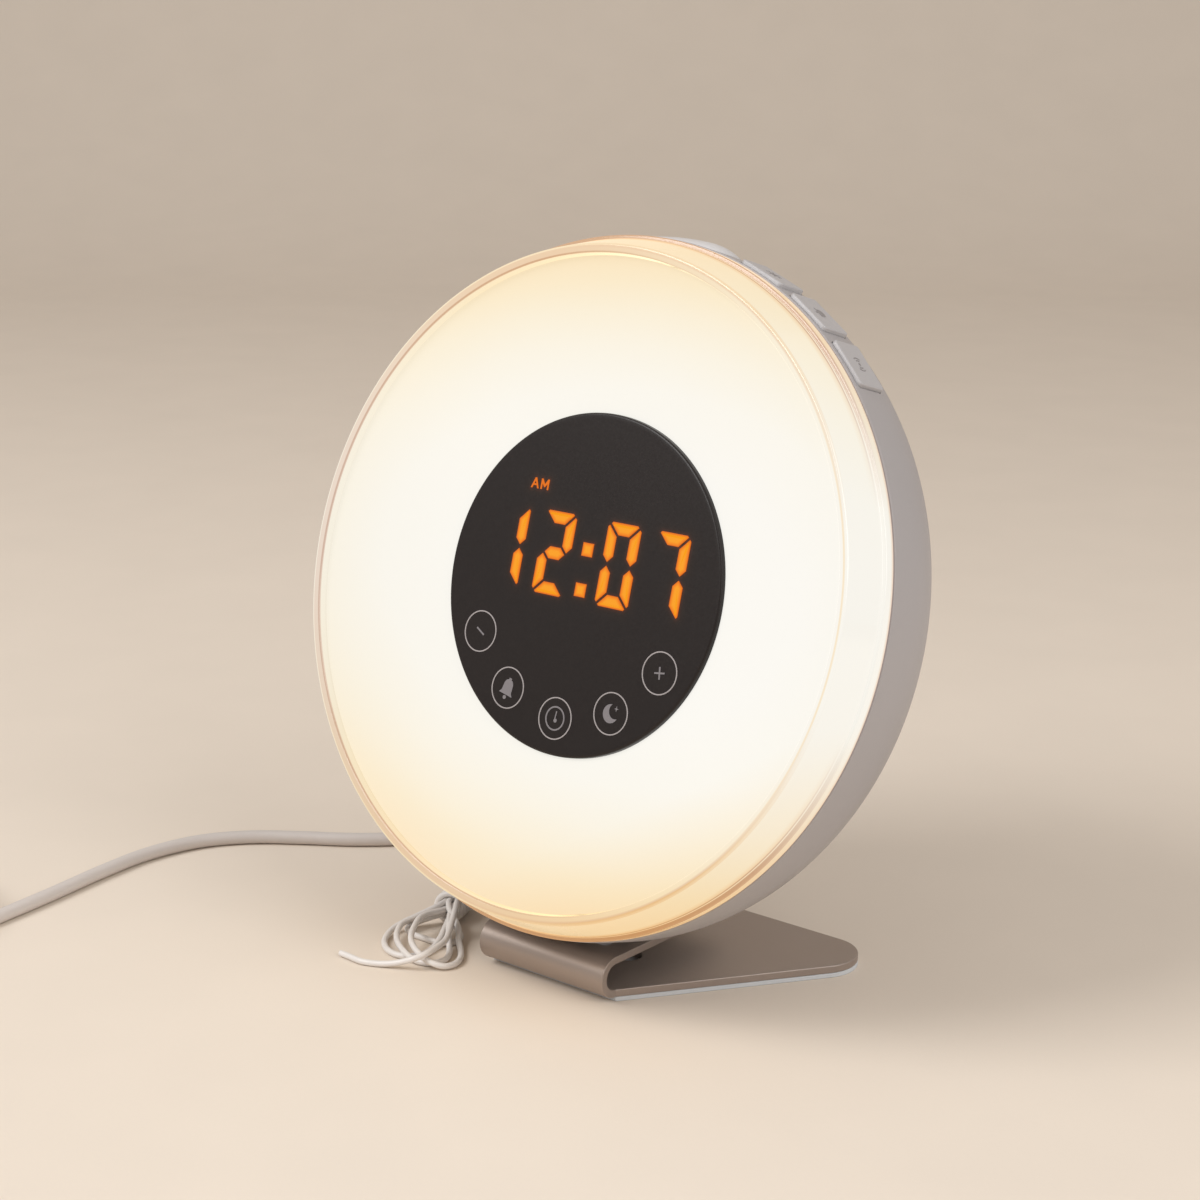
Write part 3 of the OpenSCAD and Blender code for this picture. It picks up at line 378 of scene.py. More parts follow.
def add(tree, kind, settings=(), **values):
    """Adds a node, sets it up, feeds its inputs and gives its first output. _0 is the first input."""
    node = tree.nodes.new(kind)
    for key, value in dict(settings).items():
        setattr(node, key, value)
    feed(node, **values)
    return Flow(tree, node)


def calc(kind, *values, node="ShaderNodeMath"):
    """A math node on flows and numbers."""
    tree = next(value.tree for value in values if isinstance(value, Flow))
    return add(tree, node, {"operation": kind}, **{f"_{i}": value for i, value in enumerate(values)})


def calc_vector(kind, *values):
    """A vector math node on flows and vectors."""
    return calc(kind, *values, node="ShaderNodeVectorMath")


def new_tree(name, kind, inputs, outputs):
    """An empty group with sockets given as title: type, its start as a flow and its end."""
    tree = bpy.data.node_groups.new(name, kind)
    for way, sockets in (("INPUT", inputs), ("OUTPUT", outputs)):
        for title, socket in sockets.items():
            tree.interface.new_socket(title, in_out=way, socket_type="NodeSocket" + socket)
    return tree, Flow(tree, tree.nodes.new("NodeGroupInput")), tree.nodes.new("NodeGroupOutput")


print("a flow can", [name.strip("_") for name in ("__add__", "__sub__", "__mul__", "__pow__")])

# %% [markdown]
# ## A rule for turned pieces
# Most of the lamp is turned: the face, the clear ring, the panel and the housing are outlines spun
# about the lamp's middle. One node tree spins any outline: a grid gives the rings, each point takes
# its radius and height from the outline, and the seam is closed by merging.

# %% Geometry Nodes: spin an outline
def shape_tree(name, result, **inputs):
    """A tree for a shape, with a material input for its end."""
    return new_tree(name, "GeometryNodeTree", {
        **{title.replace("_", " "): kind for title, kind in inputs.items()}, "Finish": "Material"},
        {result: "Geometry"})


def end_in_mesh(start, end, result):
    """Ends a tree in real geometry with its material set."""
    real = add(result.tree, "GeometryNodeRealizeInstances", _0=result)
    feed(end, _0=add(result.tree, "GeometryNodeSetMaterial", Geometry=real, Material=start["Finish"]))
    return result.tree


def turning_tree():
    """A node tree that spins the outline points of its mesh about the z axis."""
    tree, start, end = shape_tree("turned_outline", "Turned", Outline="Geometry", Columns="Int",
                                  Outline_Points="Int", Steps_Round="Int")
    grid = add(tree, "GeometryNodeMeshGrid", Size_X=1, Size_Y=1, Vertices_X=start["Columns"],
               Vertices_Y=start["Steps Round"] + 1)
    place = add(tree, "GeometryNodeInputPosition")
    split = add(tree, "ShaderNodeSeparateXYZ", _0=place)
    column = calc("ROUND", (split["X"] + 0.5) * (start["Columns"] - 1))
    angle = (split["Y"] + 0.5) * (2 * math.pi)
    point = add(tree, "GeometryNodeSampleIndex", {"data_type": "FLOAT_VECTOR"}, Geometry=start["Outline"],
                Value=place, Index=calc("MODULO", column, start["Outline Points"]))
    point = add(tree, "ShaderNodeSeparateXYZ", _0=point)
    spun = add(tree, "ShaderNodeCombineXYZ", X=point["X"] * calc("COSINE", angle),
               Y=point["X"] * calc("SINE", angle), Z=point["Z"])
    moved = add(tree, "GeometryNodeSetPosition", Geometry=grid, Position=spun)
    store = add(tree, "GeometryNodeStoreNamedAttribute", {"data_type": "FLOAT2", "domain": "CORNER"},
                Name="UVMap", Geometry=moved, Value=grid["UV Map"])
    return end_in_mesh(start, end, add(tree, "GeometryNodeMergeByDistance", Geometry=store, Distance=0.0005))


def by_tree(name, points, tree, place, **values):
    """A piece made by a node tree on points in millimetres. Inputs are set by their identifiers."""
    mesh = bpy.data.meshes.new(name)
    mesh.from_pydata(points, [], [])
    piece = link(name, mesh)
    modifier = piece.modifiers.new(tree.name, "NODES")
    modifier.node_group = tree
    for item in tree.interface.items_tree:
        title = item.name.replace(" ", "_").lower()
        if item.in_out == "INPUT" and title in values:
            modifier[item.identifier] = values[title]
    keep_result(piece)
    shape = bmesh.new()
    shape.from_mesh(piece.data)
    bmesh.ops.dissolve_degenerate(shape, dist=1e-5, edges=shape.edges[:])
    fill(piece.data, shape, place)
    return smooth(piece)


TURNING = turning_tree()
print("turning tree has", len(TURNING.nodes), "nodes")


# %% Spin an outline into a piece
def turned(name, outline, material, steps=256, closed=True, place=ON_LAMP):
    """Spins (radius, height) points in millimetres about the lamp's middle."""
    return by_tree(name, [(r, 0, z) for r, z in outline], TURNING, place, columns=len(outline) + closed,
                   outline_points=len(outline), steps_round=steps, finish=material)


def eased(outline, radius, steps=4, closed=True):
    """The same outline with its corners rounded. radius has one number for each corner."""
    rounded = []
    for i, (corner, r) in enumerate(zip(outline, radius)):
        if r <= 0 or (not closed and i in (0, len(outline) - 1)):
            rounded.append(corner)
            continue
        here = Vector(corner)
        back, ahead = Vector(outline[i - 1]) - here, Vector(outline[(i + 1) % len(outline)]) - here
        reach = min(r / math.tan(back.angle(ahead) / 2), 0.48 * back.length, 0.48 * ahead.length)
        a, b = here + back.normalized() * reach, here + ahead.normalized() * reach
        for k in range(steps + 1):
            t = k / steps
            rounded.append(tuple(a * (1 - t) ** 2 + here * 2 * t * (1 - t) + b * t ** 2))
    return rounded


print("a square eases into", len(eased([(0, 0), (1, 0), (1, 1), (0, 1)], [0.2] * 4)), "points")

# %% [markdown]
# ## Finishes
# No real surface is one flat colour. Moulded plastic has a fine spark-eroded grain and drifts a little
# in shade, sheet metal has drawn lines, and a board has its tracks. Each effect is a node group that
# gives colour, roughness and height, so every material can use it with values of its own.

# %% Helpers for surfaces
def linear(*colour):
    """An sRGB colour of 0 to 255 as linear values with alpha."""
    shares = [c / 255 for c in colour]
    return (*[c / 12.92 if c <= 0.04045 else ((c + 0.055) / 1.055) ** 2.4 for c in shares], 1.0)


def place_in(tree, stretch=(1, 1, 1)):
    """Object coordinates, stretched."""
    coords = add(tree, "ShaderNodeTexCoord")["Object"]
    return add(tree, "ShaderNodeMapping", Vector=coords, Scale=stretch)


def noise(tree, scale, detail=2.0, stretch=(1, 1, 1)):
    """Noise between 0 and 1; scale is a number or a flow."""
    return add(tree, "ShaderNodeTexNoise", Vector=place_in(tree, stretch), Scale=scale, Detail=detail)


def ramp(factor, *stops):
    """A colour ramp; stops are (place, colour), from place 0 to place 1."""
    made = add(factor.tree, "ShaderNodeValToRGB", _0=factor)
    first, last = made.node.color_ramp.elements
    first.color, last.color = stops[0][1], stops[-1][1]
    for place, colour in stops[1:-1]:
        made.node.color_ramp.elements.new(place).color = colour
    return made


def between(value, low, high):
    """How far a value is from low to high, kept between 0 and 1."""
    return add(value.tree, "ShaderNodeMapRange", Value=value, From_Min=low, From_Max=high)


def mix(factor, low, high):
    """A blend of two colours."""
    return add(factor.tree, "ShaderNodeMix", {"data_type": "RGBA"}, _0=factor, _6=low, _7=high)[2]


def surface_group(name):
    """A group that takes a colour and its grain, and gives a colour, a roughness and a height."""
    return new_tree(name, "ShaderNodeTree", {"Colour": "Color", "Scale": "Float", "Shade": "Float",
                                             "Roughness": "Float"},
                    {"Colour": "Color", "Roughness": "Float", "Height": "Float"})


def end_surface(start, end, drift, rougher, height):
    """Ends a group: a drift of 0 to 1 shades the colour, and a change is added to the roughness."""
    shade = (drift - 0.5) * start["Shade"] + 1.0
    colour = add(drift.tree, "ShaderNodeVectorMath", {"operation": "SCALE"}, _0=start["Colour"], Scale=shade)
    feed(end, Colour=colour, Roughness=rougher + start["Roughness"], Height=height)
    return drift.tree


# %% Group: grain of a mould
def moulded_grain():
    """Fine grain with a slow drift of shade."""
    tree, start, end = surface_group("moulded_grain")
    fine = noise(tree, start["Scale"], 3.0)
    return end_surface(start, end, fine * 0.35 + noise(tree, 24.0) * 0.65, (fine - 0.5) * 0.2, fine)


# %% Group: lines of drawn and rolled metal
def drawn_lines():
    """Fine lines along x over a slow drift, as on rolled sheet."""
    tree, start, end = surface_group("drawn_lines")
    lines = noise(tree, start["Scale"], 4.0, (0.06, 1.0, 1.0))
    mixed = lines * 0.4 + (noise(tree, 2400.0) * 0.3 + noise(tree, 30.0) * 0.3)
    return end_surface(start, end, mixed, (mixed - 0.5) * 0.35, mixed)


# %% Group: tracks of a printed board
def board_tracks():
    """Solder mask over copper tracks, which show as a lighter maze of lines and pads."""
    tree, start, end = surface_group("board_tracks")
    brick = add(tree, "ShaderNodeTexBrick", Vector=place_in(tree), Scale=130.0, Mortar_Size=0.06)
    pads = add(tree, "ShaderNodeTexVoronoi", Vector=place_in(tree), Scale=start["Scale"])
    copper = calc("MAXIMUM", brick["Fac"], calc("LESS_THAN", pads["Distance"], 0.22))
    return end_surface(start, end, copper, copper * -0.12, copper)


# %% Group: dust that settles on what faces up
def settled_dust():
    """Lightens and dulls faces that look up, in soft patches."""
    tree, start, end = new_tree("settled_dust", "ShaderNodeTree",
                                {"Colour": "Color", "Roughness": "Float", "Amount": "Float"},
                                {"Colour": "Color", "Roughness": "Float"})
    normal = add(tree, "ShaderNodeSeparateXYZ", _0=add(tree, "ShaderNodeNewGeometry")["Normal"])
    level = calc("MAXIMUM", normal["Z"], 0.0) ** 2.0
    amount = level * noise(tree, 60.0, 5.0) * start["Amount"]
    feed(end, Colour=mix(amount, start["Colour"], linear(214, 206, 198)),
         Roughness=start["Roughness"] + amount * 0.8)
    return tree


# %% Group: where a point is in the lamp's own frame
def lamp_place():
    """A point's place across, up and out of the lamp, and its radius, in millimetres."""
    tree, _, end = new_tree("lamp_place", "ShaderNodeTree", {},
                            dict.fromkeys(("Across", "Up", "Out", "Radius"), "Float"))
    turn = add(tree, "ShaderNodeMapping", {"vector_type": "TEXTURE"},
               Vector=add(tree, "ShaderNodeTexCoord")["Object"], Location=(0, LAMP_Y * MM, LAMP_Z * MM),
               Rotation=(math.radians(90) - TILT, 0, 0), Scale=(MM, MM, MM))
    split = add(tree, "ShaderNodeSeparateXYZ", _0=turn)
    radius = calc("SQRT", split["X"] ** 2.0 + split["Y"] ** 2.0)
    feed(end, Across=split["X"], Up=split["Y"], Out=split["Z"], Radius=radius)
    return tree


GRAIN, LINES, TRACKS = moulded_grain(), drawn_lines(), board_tracks()
DUST, PLACE = settled_dust(), lamp_place()
print("groups:", [group.name for group in bpy.data.node_groups])


# %% A helper for materials
def group_in(tree, group, **values):
    """Places a shader group with values of its own."""
    return add(tree, "ShaderNodeGroup", {"node_tree": group}, **values)


def new_material(name, colour, roughness, effect=GRAIN, scale=900.0, shade=0.08, bump=0.05, dust=0.0,
                 **values):
    """A Principled material whose colour, roughness and bump come from an effect. Colour is sRGB."""
    material = bpy.data.materials.new(name)
    material.use_nodes = True
    tree = material.node_tree
    look = group_in(tree, effect, Colour=linear(*colour), Scale=scale, Shade=shade, Roughness=roughness)
    top = look
    if dust:
        top = group_in(tree, DUST, Colour=look["Colour"], Roughness=look["Roughness"], Amount=dust)
    relief = add(tree, "ShaderNodeBump", Strength=bump, Distance=0.0004, Height=look["Height"])
    feed(tree.nodes["Principled BSDF"], Base_Color=top["Colour"], Roughness=top["Roughness"], Normal=relief,
         **values)
    return material


# %% [markdown]
# The lit pieces glow by themselves and are lit by the room as well. What they give off is therefore
# the colour wanted minus what the room's light gives back, so that the sum never burns out. The
# lamps inside light up a wide oval, and face and ring share it.

# %% Light that the lamps inside make
LIT_BASE = (112, 107, 99)
ROOM_LIGHT = 1.0
MIRRORED = 0.04
ROOM_GIVES = [ROOM_LIGHT * (channel + MIRRORED) for channel in linear(*LIT_BASE)[:3]]
OVAL_ACROSS, OVAL_UP, OVAL_NARROW = 15.0, 2.0, 0.6
OVAL_STOPS = [(0.0, (251, 249, 243)), (0.34, (251, 248, 239)), (0.54, (251, 245, 230)),
              (0.7, (251, 241, 219)), (0.84, (251, 236, 206)), (1.0, (251, 230, 194))]
CLEAR, DIMMER, WARMER = (1, 1, 1, 1), (0.94, 0.94, 0.94, 1), (1.0, 0.92, 0.8, 1)


def lamp_oval():
    """The colour of the light from inside: brightest in an oval, warmer further out."""
    tree, start, end = new_tree("lamp_oval", "ShaderNodeTree", {"Across": "Float", "Up": "Float"},
                                {"Colour": "Color"})
    across, up = start["Across"], start["Up"]
    square = ((across - OVAL_ACROSS) * OVAL_NARROW) ** 2.0 + (up - OVAL_UP) ** 2.0
    reach = calc("SQRT", square) + noise(tree, 18.0, 1.0) * 6.0
    colour = ramp(between(reach, 33.0, 83.0), *[(place, linear(*stop)) for place, stop in OVAL_STOPS])
    dimmer = ramp(between(across * -0.7 - up, 0.0, 90.0), (0.0, CLEAR), (1.0, DIMMER))
    warmer = ramp(between(across * 0.6 - up, 68.0, 98.0), (0.0, CLEAR), (1.0, WARMER))
    colour = calc_vector("MULTIPLY", calc_vector("MULTIPLY", colour, dimmer), warmer)
    feed(end, Colour=colour)
    return tree


LAMP_OVAL = lamp_oval()


def lit_material(name, roughness, lines=None, **values):
    """A material that gives off the oval's light times any painted lines and light of its own, minus what
    the room gives.
    """
    material = new_material(name, LIT_BASE, roughness, shade=0.02, **values)
    tree = material.node_tree
    place = group_in(tree, PLACE)
    wanted = group_in(tree, LAMP_OVAL, Across=place["Across"], Up=place["Up"])
    # lines, where given, multiply the glow by painted dark lines and painted uneven light.
    if lines:
        wanted = calc_vector("MULTIPLY", wanted, lines(place))
    less = calc_vector("SUBTRACT", wanted, ROOM_GIVES)
    feed(tree.nodes["Principled BSDF"], Emission_Color=calc_vector("MAXIMUM", less, (0, 0, 0)),
         Emission_Strength=1.0)
    return material


# %% Painted lines and light of the clear ring
RING_BACK_Z, RING_TOP_Z, RING_INNER_R, RING_TOP_R = -4.4, 8.6, 79.5, 81.7
# Colours of the painted dark lines and the painted uneven light on the clear ring, as shares of the glow.
BEIGE, BROWN = (0.89, 0.8, 0.79, 1), (0.7, 0.54, 0.5, 1)
PEACH, AMBER, TAN = (0.95, 0.85, 0.76, 1), (0.98, 0.86, 0.7, 1), (0.86, 0.68, 0.52, 1)


def ring_painted_lines_and_light(place):
    """Fine painted dark lines where light bends and reflects in the clear plastic at its edges and step:
    along its wall by height, on its front by side, with painted uneven light across the front.
    """
    out = between(place["Out"], RING_BACK_Z, RING_TOP_Z)
    plain_wall = ramp(out, (0.0, BROWN), (0.02, BROWN), (0.05, PEACH), (0.1, CLEAR), (1.0, CLEAR))
    # Painted dark lines on the wall: one at its back edge, and a pair at its step where the wall is seen
    # above and below.
    lined_wall = ramp(out, (0.0, BROWN), (0.02, BROWN), (0.04, PEACH), (0.2, PEACH), (0.225, BROWN),
                      (0.25, BROWN), (0.262, CLEAR), (0.275, CLEAR), (0.285, BROWN), (0.302, BROWN),
                      (0.32, PEACH), (0.42, CLEAR), (1.0, CLEAR))
    height = calc("ABSOLUTE", place["Up"] + -4.0)
    wall = mix(between(height, 26.0, 60.0), plain_wall, lined_wall)
    ring = between(place["Radius"], RING_INNER_R, RING_TOP_R)
    left = ramp(ring, (0.0, BEIGE), (0.03, BROWN), (0.12, BROWN), (0.2, BEIGE), (0.76, BEIGE),
                (0.84, CLEAR), (1.0, CLEAR))
    beside = ramp(ring, (0.0, CLEAR), (0.45, CLEAR), (0.55, AMBER), (0.65, AMBER), (0.8, CLEAR),
                  (1.0, CLEAR))
    above = ramp(ring, (0.0, CLEAR), (0.5, CLEAR), (0.66, BEIGE), (0.84, TAN), (1.0, PEACH))
    right = mix(between(height, 20.0, 64.0), beside, above)
    # Painted uneven light: the front is beige with a dark line on the left, and has only thin amber or tan
    # bands on the right.
    front = mix(between(place["Across"], -20.0, 45.0), left, right)
    side = mix(calc("LESS_THAN", place["Radius"], RING_INNER_R + 1.0), wall, CLEAR)
    return mix(calc("GREATER_THAN", place["Out"], RING_TOP_Z - 0.6), side, front)


face_plastic = lit_material("face_plastic", 0.4, bump=0.02)
rim_acrylic = lit_material("rim_acrylic", 0.12, ring_painted_lines_and_light, bump=0.0, Coat_Weight=0.3, Coat_Roughness=0.05)
print("lit finishes:", face_plastic.name, rim_acrylic.name)


# %% Finishes of the panel and the digits
def glowing_finish(name, attribute, stops, base, roughness, **values):
    """A finish that gives off light by an attribute of the mesh between 0 and 1."""
    material = new_material(name, base, roughness, bump=0.02, **values)
    read = add(material.node_tree, "ShaderNodeAttribute", {"attribute_name": attribute})
    glow = ramp(read["Fac"], *[(place, linear(*colour)) for place, colour in stops])
    feed(material.node_tree.nodes["Principled BSDF"], Emission_Color=glow, Emission_Strength=1.0)
    return material


panel_acrylic = glowing_finish(
    "panel_acrylic", "glow", [(0.0, (0, 0, 0)), (0.35, (18, 7, 0)), (0.7, (46, 17, 3)), (1.0, (84, 33, 6))],
    (29, 22, 20), 0.34, shade=0.3, scale=1500.0, Specular_IOR_Level=0.3)
digit_light = glowing_finish(
    "digit_light", "core", [(0.0, (222, 104, 10)), (0.45, (243, 132, 14)), (1.0, (248, 158, 26))],
    (22, 9, 2), 0.5, shade=0.1, Specular_IOR_Level=0.2)
print("glowing finishes:", panel_acrylic.name, digit_light.name)

# %% [markdown]
# The touch marks are grey print, and their rings are lighter than the small pictures inside them.
# Everything else is one line each: what it is made of sets the colour, roughness and effect.

# %% Finish of the touch marks
MARK_RING_R = 33.0
MARK_ANGLES = range(-150, -29, 30)


def touch_mark_finish():
    """Grey print that darkens toward the nearest mark's middle."""
    material = new_material("icon_ink", (150, 142, 142), 0.55, shade=0.15, scale=2000.0)
    tree = material.node_tree
    place = group_in(tree, PLACE)
    flat = add(tree, "ShaderNodeCombineXYZ", X=place["Across"], Y=place["Up"])
    nearest = 99.0
    for angle in MARK_ANGLES:
        away = calc_vector("DISTANCE", flat, (*polar(MARK_RING_R, angle), 0))
        nearest = calc("MINIMUM", nearest, away["Value"])
    ink = ramp(between(nearest, 3.0, 4.6), (0.0, linear(122, 117, 120)), (1.0, linear(158, 151, 151)))
    feed(tree.nodes["Group"], Colour=ink)
    return material


# %% Finishes of the other pieces
housing_plastic = new_material("housing_plastic", (167, 162, 162), 0.42, shade=0.1, bump=0.06, dust=0.15)
key_plastic = new_material("key_plastic", (180, 177, 178), 0.38, shade=0.08, dust=0.12)
snooze_plastic = new_material("snooze_plastic", (206, 203, 203), 0.34, shade=0.06, dust=0.12)
mark_ink = new_material("mark_ink", (142, 137, 137), 0.5)
icon_ink = touch_mark_finish()
cord_vinyl = new_material("cord_vinyl", (205, 196, 190), 0.42, scale=500.0, shade=0.12, bump=0.08, dust=0.2)
wire_vinyl = new_material("wire_vinyl", (226, 221, 217), 0.36, scale=700.0, shade=0.1, bump=0.06, dust=0.1)
foot_metal = new_material("foot_metal", (163, 149, 140), 0.4, LINES, 700.0, 0.22, 0.1, 0.15, Metallic=0.55)
pad_foam = new_material("pad_foam", (204, 206, 208), 0.85, scale=1600.0, shade=0.16, bump=0.3)
inner_plastic = new_material("inner_plastic", (226, 224, 219), 0.5)
black_plastic = new_material("black_plastic", (34, 33, 34), 0.45, shade=0.2)
chip_epoxy = new_material("chip_epoxy", (40, 40, 42), 0.55, scale=2600.0, shade=0.3)
cone_paper = new_material("cone_paper", (38, 37, 37), 0.8, scale=1200.0, shade=0.4, bump=0.4)
board_mask = new_material("board_mask", (22, 84, 44), 0.3, TRACKS, 420.0, 0.9, 0.15)
light_board = new_material("light_board", (226, 224, 214), 0.35, TRACKS, 300.0, 0.1, 0.1)
phosphor = new_material("phosphor", (236, 206, 120), 0.4, scale=2000.0)
bright_steel = new_material("bright_steel", (196, 196, 198), 0.24, LINES, 1500.0, 0.2, 0.06, Metallic=1.0)
cell_steel = new_material("cell_steel", (190, 190, 186), 0.3, LINES, 1200.0, 0.25, 0.08, Metallic=1.0)
contact_gold = new_material("contact_gold", (206, 172, 96), 0.28, LINES, 1500.0, 0.2, 0.06, Metallic=1.0)
ribbon_film = new_material("ribbon_film", (178, 178, 172), 0.4, LINES, 1400.0, 0.3, 0.1)
tie_hook = new_material("tie_hook", (60, 58, 58), 0.9, scale=2200.0, shade=0.5, bump=0.5)
power_cord.data.materials.append(cord_vinyl)
aerial.data.materials.append(wire_vinyl)
print("materials:", len(bpy.data.materials))

# %% [markdown]
# ## The milky face and the clear ring
# The real face is a dished disc of milky plastic that hides the lamps, and a clear ring clips round
# it. Both are turned shapes, so their outlines are all there is to draw.

# %% Milky face and clear ring
PANEL_R, FACE_R = 42.0, 79.2
FACE_SEAT, FACE_HOLE, FACE_INNER_R = 42.2, 38.4, 77.2
FRONT_Z = RING_BACK_Z


def face_height(r):
    """Height of the milky face at a radius."""
    return -1.2 + 7.4 * (r * r - PANEL_R ** 2) / (FACE_R ** 2 - PANEL_R ** 2)


def face_line(end, steps, drop):
    """Points along the dish from its seat to a radius, lowered by drop."""
    radii = [FACE_SEAT + (end - FACE_SEAT) * i / steps for i in range(steps + 1)]
    return [(r, face_height(r) - drop) for r in radii]


face_outline = [(FACE_HOLE, -2.0), (FACE_SEAT, -2.0)] + face_line(FACE_R, 40, 0)
face_outline += [(FACE_R, FRONT_Z), (FACE_INNER_R, FRONT_Z)]
face_outline += face_line(FACE_INNER_R, 16, 2)[::-1] + [(FACE_HOLE, face_height(FACE_SEAT) - 2)]
milky_face = turned("milky_face", face_outline, face_plastic)
RING_R, RING_STEP_R, RING_STEP_Z = 85.7, 84.8, -1.2
ring_corners = [(RING_INNER_R, FRONT_Z), (RING_R, FRONT_Z), (RING_R, RING_STEP_Z),
                (RING_STEP_R, RING_STEP_Z), (RING_TOP_R, RING_TOP_Z), (RING_INNER_R, RING_TOP_Z)]
clear_ring = turned("clear_ring", eased(ring_corners, [0.1, 0.4, 0.4, 0.2, 0.6, 0.6], 5), rim_acrylic)
print("faces of the milky face and the ring:", faces_of(milky_face, clear_ring))

# %% [markdown]
# ## The digits
# Segment digits are seven bars with mitred ends. Three bar shapes and their mirror images make every
# digit. The light behind a bar is strongest in its middle, so each bar has an inner outline that
# carries the value 1 and an outer one that carries 0, and the material blends between them.

# %% Bars of a digit
DIGIT_W, DIGIT_H, BAR, SLIT, CHAMFER = 10.2, 20.5, 3.0, 0.7, 1.3
HALF_SLIT = SLIT * math.sqrt(0.5) / 2
DISPLAY_X, DISPLAY_Y = 0.4, 6.2
TIME = [(-25.1, [5, 6]), (-10.1, [0, 5, 1, 4, 2]), (10.1, [0, 3, 5, 4, 6, 2]), (25.1, [0, 5, 6])]
DOT, DOT_HEIGHTS = 1.65, (8.6, -1.3)


def bar_shapes():
    """Outlines of the bars across a digit's top, at its upper right and across its middle."""
    w, h, s, c = DIGIT_W / 2, DIGIT_H / 2, HALF_SLIT, CHAMFER
    mitre, tip = w - BAR - 2 * s, (DIGIT_W - BAR) / 2 - 2 * s
    flat = tip - BAR / 2
    top = [(c - w, h), (w - c, h), (w - c / 2 - s, h - c / 2 + s), (mitre, h - BAR), (-mitre, h - BAR),
           (c / 2 + s - w, h - c / 2 + s)]
    side = [(w, h - c), (w - c / 2 + s, h - c / 2 - s), (w - BAR, h - BAR - 2 * s),
            (w - BAR, BAR / 2 + 2 * s), (w - BAR / 2, 2 * s), (w, BAR / 2 + 2 * s)]
    middle = [(-tip, 0), (-flat, BAR / 2), (flat, BAR / 2), (tip, 0), (flat, -BAR / 2), (-flat, -BAR / 2)]
    return top, side, middle


def digit_bars(lit, x, y):
    """Outlines of a digit's bars: 0 top, 1 middle, 2 bottom, 3 and 4 left, 5 and 6 right."""
    top, side, middle = bar_shapes()
    bars = []
    for bar in lit:
        outline = middle if bar == 1 else top if bar in (0, 2) else side
        flip_x, flip_y = (-1 if bar in (3, 4) else 1), (-1 if bar in (2, 4, 6) else 1)
        bars.append([(x + flip_x * px, y + flip_y * py) for px, py in outline])
    return bars


def boxed(x0, y0, x1, y1):
    """The four corners of a rectangle."""
    return [(x0, y0), (x1, y0), (x1, y1), (x0, y1)]


lit_bars = [bar for x, lit in TIME for bar in digit_bars(lit, DISPLAY_X + x, DISPLAY_Y)]
lit_bars += [boxed(DISPLAY_X - DOT, y - DOT, DISPLAY_X + DOT, y + DOT) for y in DOT_HEIGHTS]
print("lit bars:", len(lit_bars))

# %% Lit digits, colon and the morning mark
LETTER_W, LETTER_H, STROKE = 2.5, 2.6, 0.42
LETTER_X, LETTER_Y = -21.0, 21.0
MARK_T = 0.12


def inset(outline, distance):
    """A convex outline moved inward."""
    area = sum(a[0] * b[1] - b[0] * a[1] for a, b in zip(outline, outline[1:] + outline[:1]))
    turn = 1 if area > 0 else -1
    moved = []
    for i, here in enumerate(outline):
        last, ahead = Vector(outline[i - 1]), Vector(outline[(i + 1) % len(outline)])
        before, after = (Vector(here) - last).normalized(), (ahead - Vector(here)).normalized()
        first, second = Vector((-before.y, before.x)) * turn, Vector((-after.y, after.x)) * turn
        shift = (first + second) * (distance / (1 + first.dot(second)))
        moved.append((here[0] + shift.x, here[1] + shift.y))
    return moved


def letters():
    """Outlines of the two letters of the morning mark."""
    w, h, t = LETTER_W, LETTER_H, STROKE
    first = [(0, 0), (t, 0), (w / 2, h - 1.6 * t), (w - t, 0), (w, 0), (w / 2 + t / 2, h),
             (w / 2 - t / 2, h)]
    second = [(0, 0), (t, 0), (t, 0.58 * h), (w / 2, 0.2 * h), (w - t, 0.58 * h), (w - t, 0), (w, 0),
              (w, h), (w - t, h), (w / 2, 0.5 * h), (t, h), (0, h)]
    cross = boxed(0.36 * w, 0.27 * h, 0.64 * w, 0.27 * h + t)
    return [[(LETTER_X + x, LETTER_Y + y) for x, y in outline] for outline in
            (first, cross, [(x + 1.24 * w, y) for x, y in second])]


plates = [[(outline, 0, 0), (outline, MARK_T, 0), (inset(outline, 0.45), MARK_T, 0.5),
           (inset(outline, 1.0), MARK_T, 1)] for outline in lit_bars]
plates += [[(outline, 0, 0.1), (outline, MARK_T, 0.1)] for outline in letters()]
bars = bmesh.new()
core = bars.verts.layers.float.new("core")
for plate in plates:
    rows = skin(bars, [[(x, y, height) for x, y in outline] for outline, height, _ in plate])
    for row, (_, _, value) in zip(rows, plate):
        for vert in row:
            vert[core] = value
lit_digits = new_piece("lit_digits", bars, ON_LAMP, digit_light)
print("faces of the digits:", faces_of(lit_digits))

# %% [markdown]
# ## The touch panel
# A dark disc with an eased edge. Light leaks a little through it round each bar. The front has rings
# every half millimetre, and each point stores how near the next lit bar is.

# %% Touch panel
EASE = 0.7
GLOW_REACH = 0.9


def side_gap(point, a, b):
    """Distance of a point from the line between two points."""
    way = b - a
    share = max(0.0, min(1.0, (point - a).dot(way) / way.length_squared))
    return (point - a - way * share).length


def store_glow(piece):
    """Stores on each point how near the closest lit bar is: 1 at its edge, 0 far away."""
    back = ON_LAMP.inverted()
    sides = [(Vector(a), Vector(b)) for bar in lit_bars + letters() for a, b in zip(bar, bar[1:] + bar[:1])]
    layer = piece.data.attributes.new("glow", "FLOAT", "POINT")
    for vert in piece.data.vertices:
        place = back @ vert.co
        if place.z > -0.05 and abs(place.x) < 35 and -9 < place.y < 27:
            flat = place.to_2d()
            gap = min(side_gap(flat, a, b) for a, b in sides)
            layer.data[vert.index].value = math.exp(-gap / GLOW_REACH)


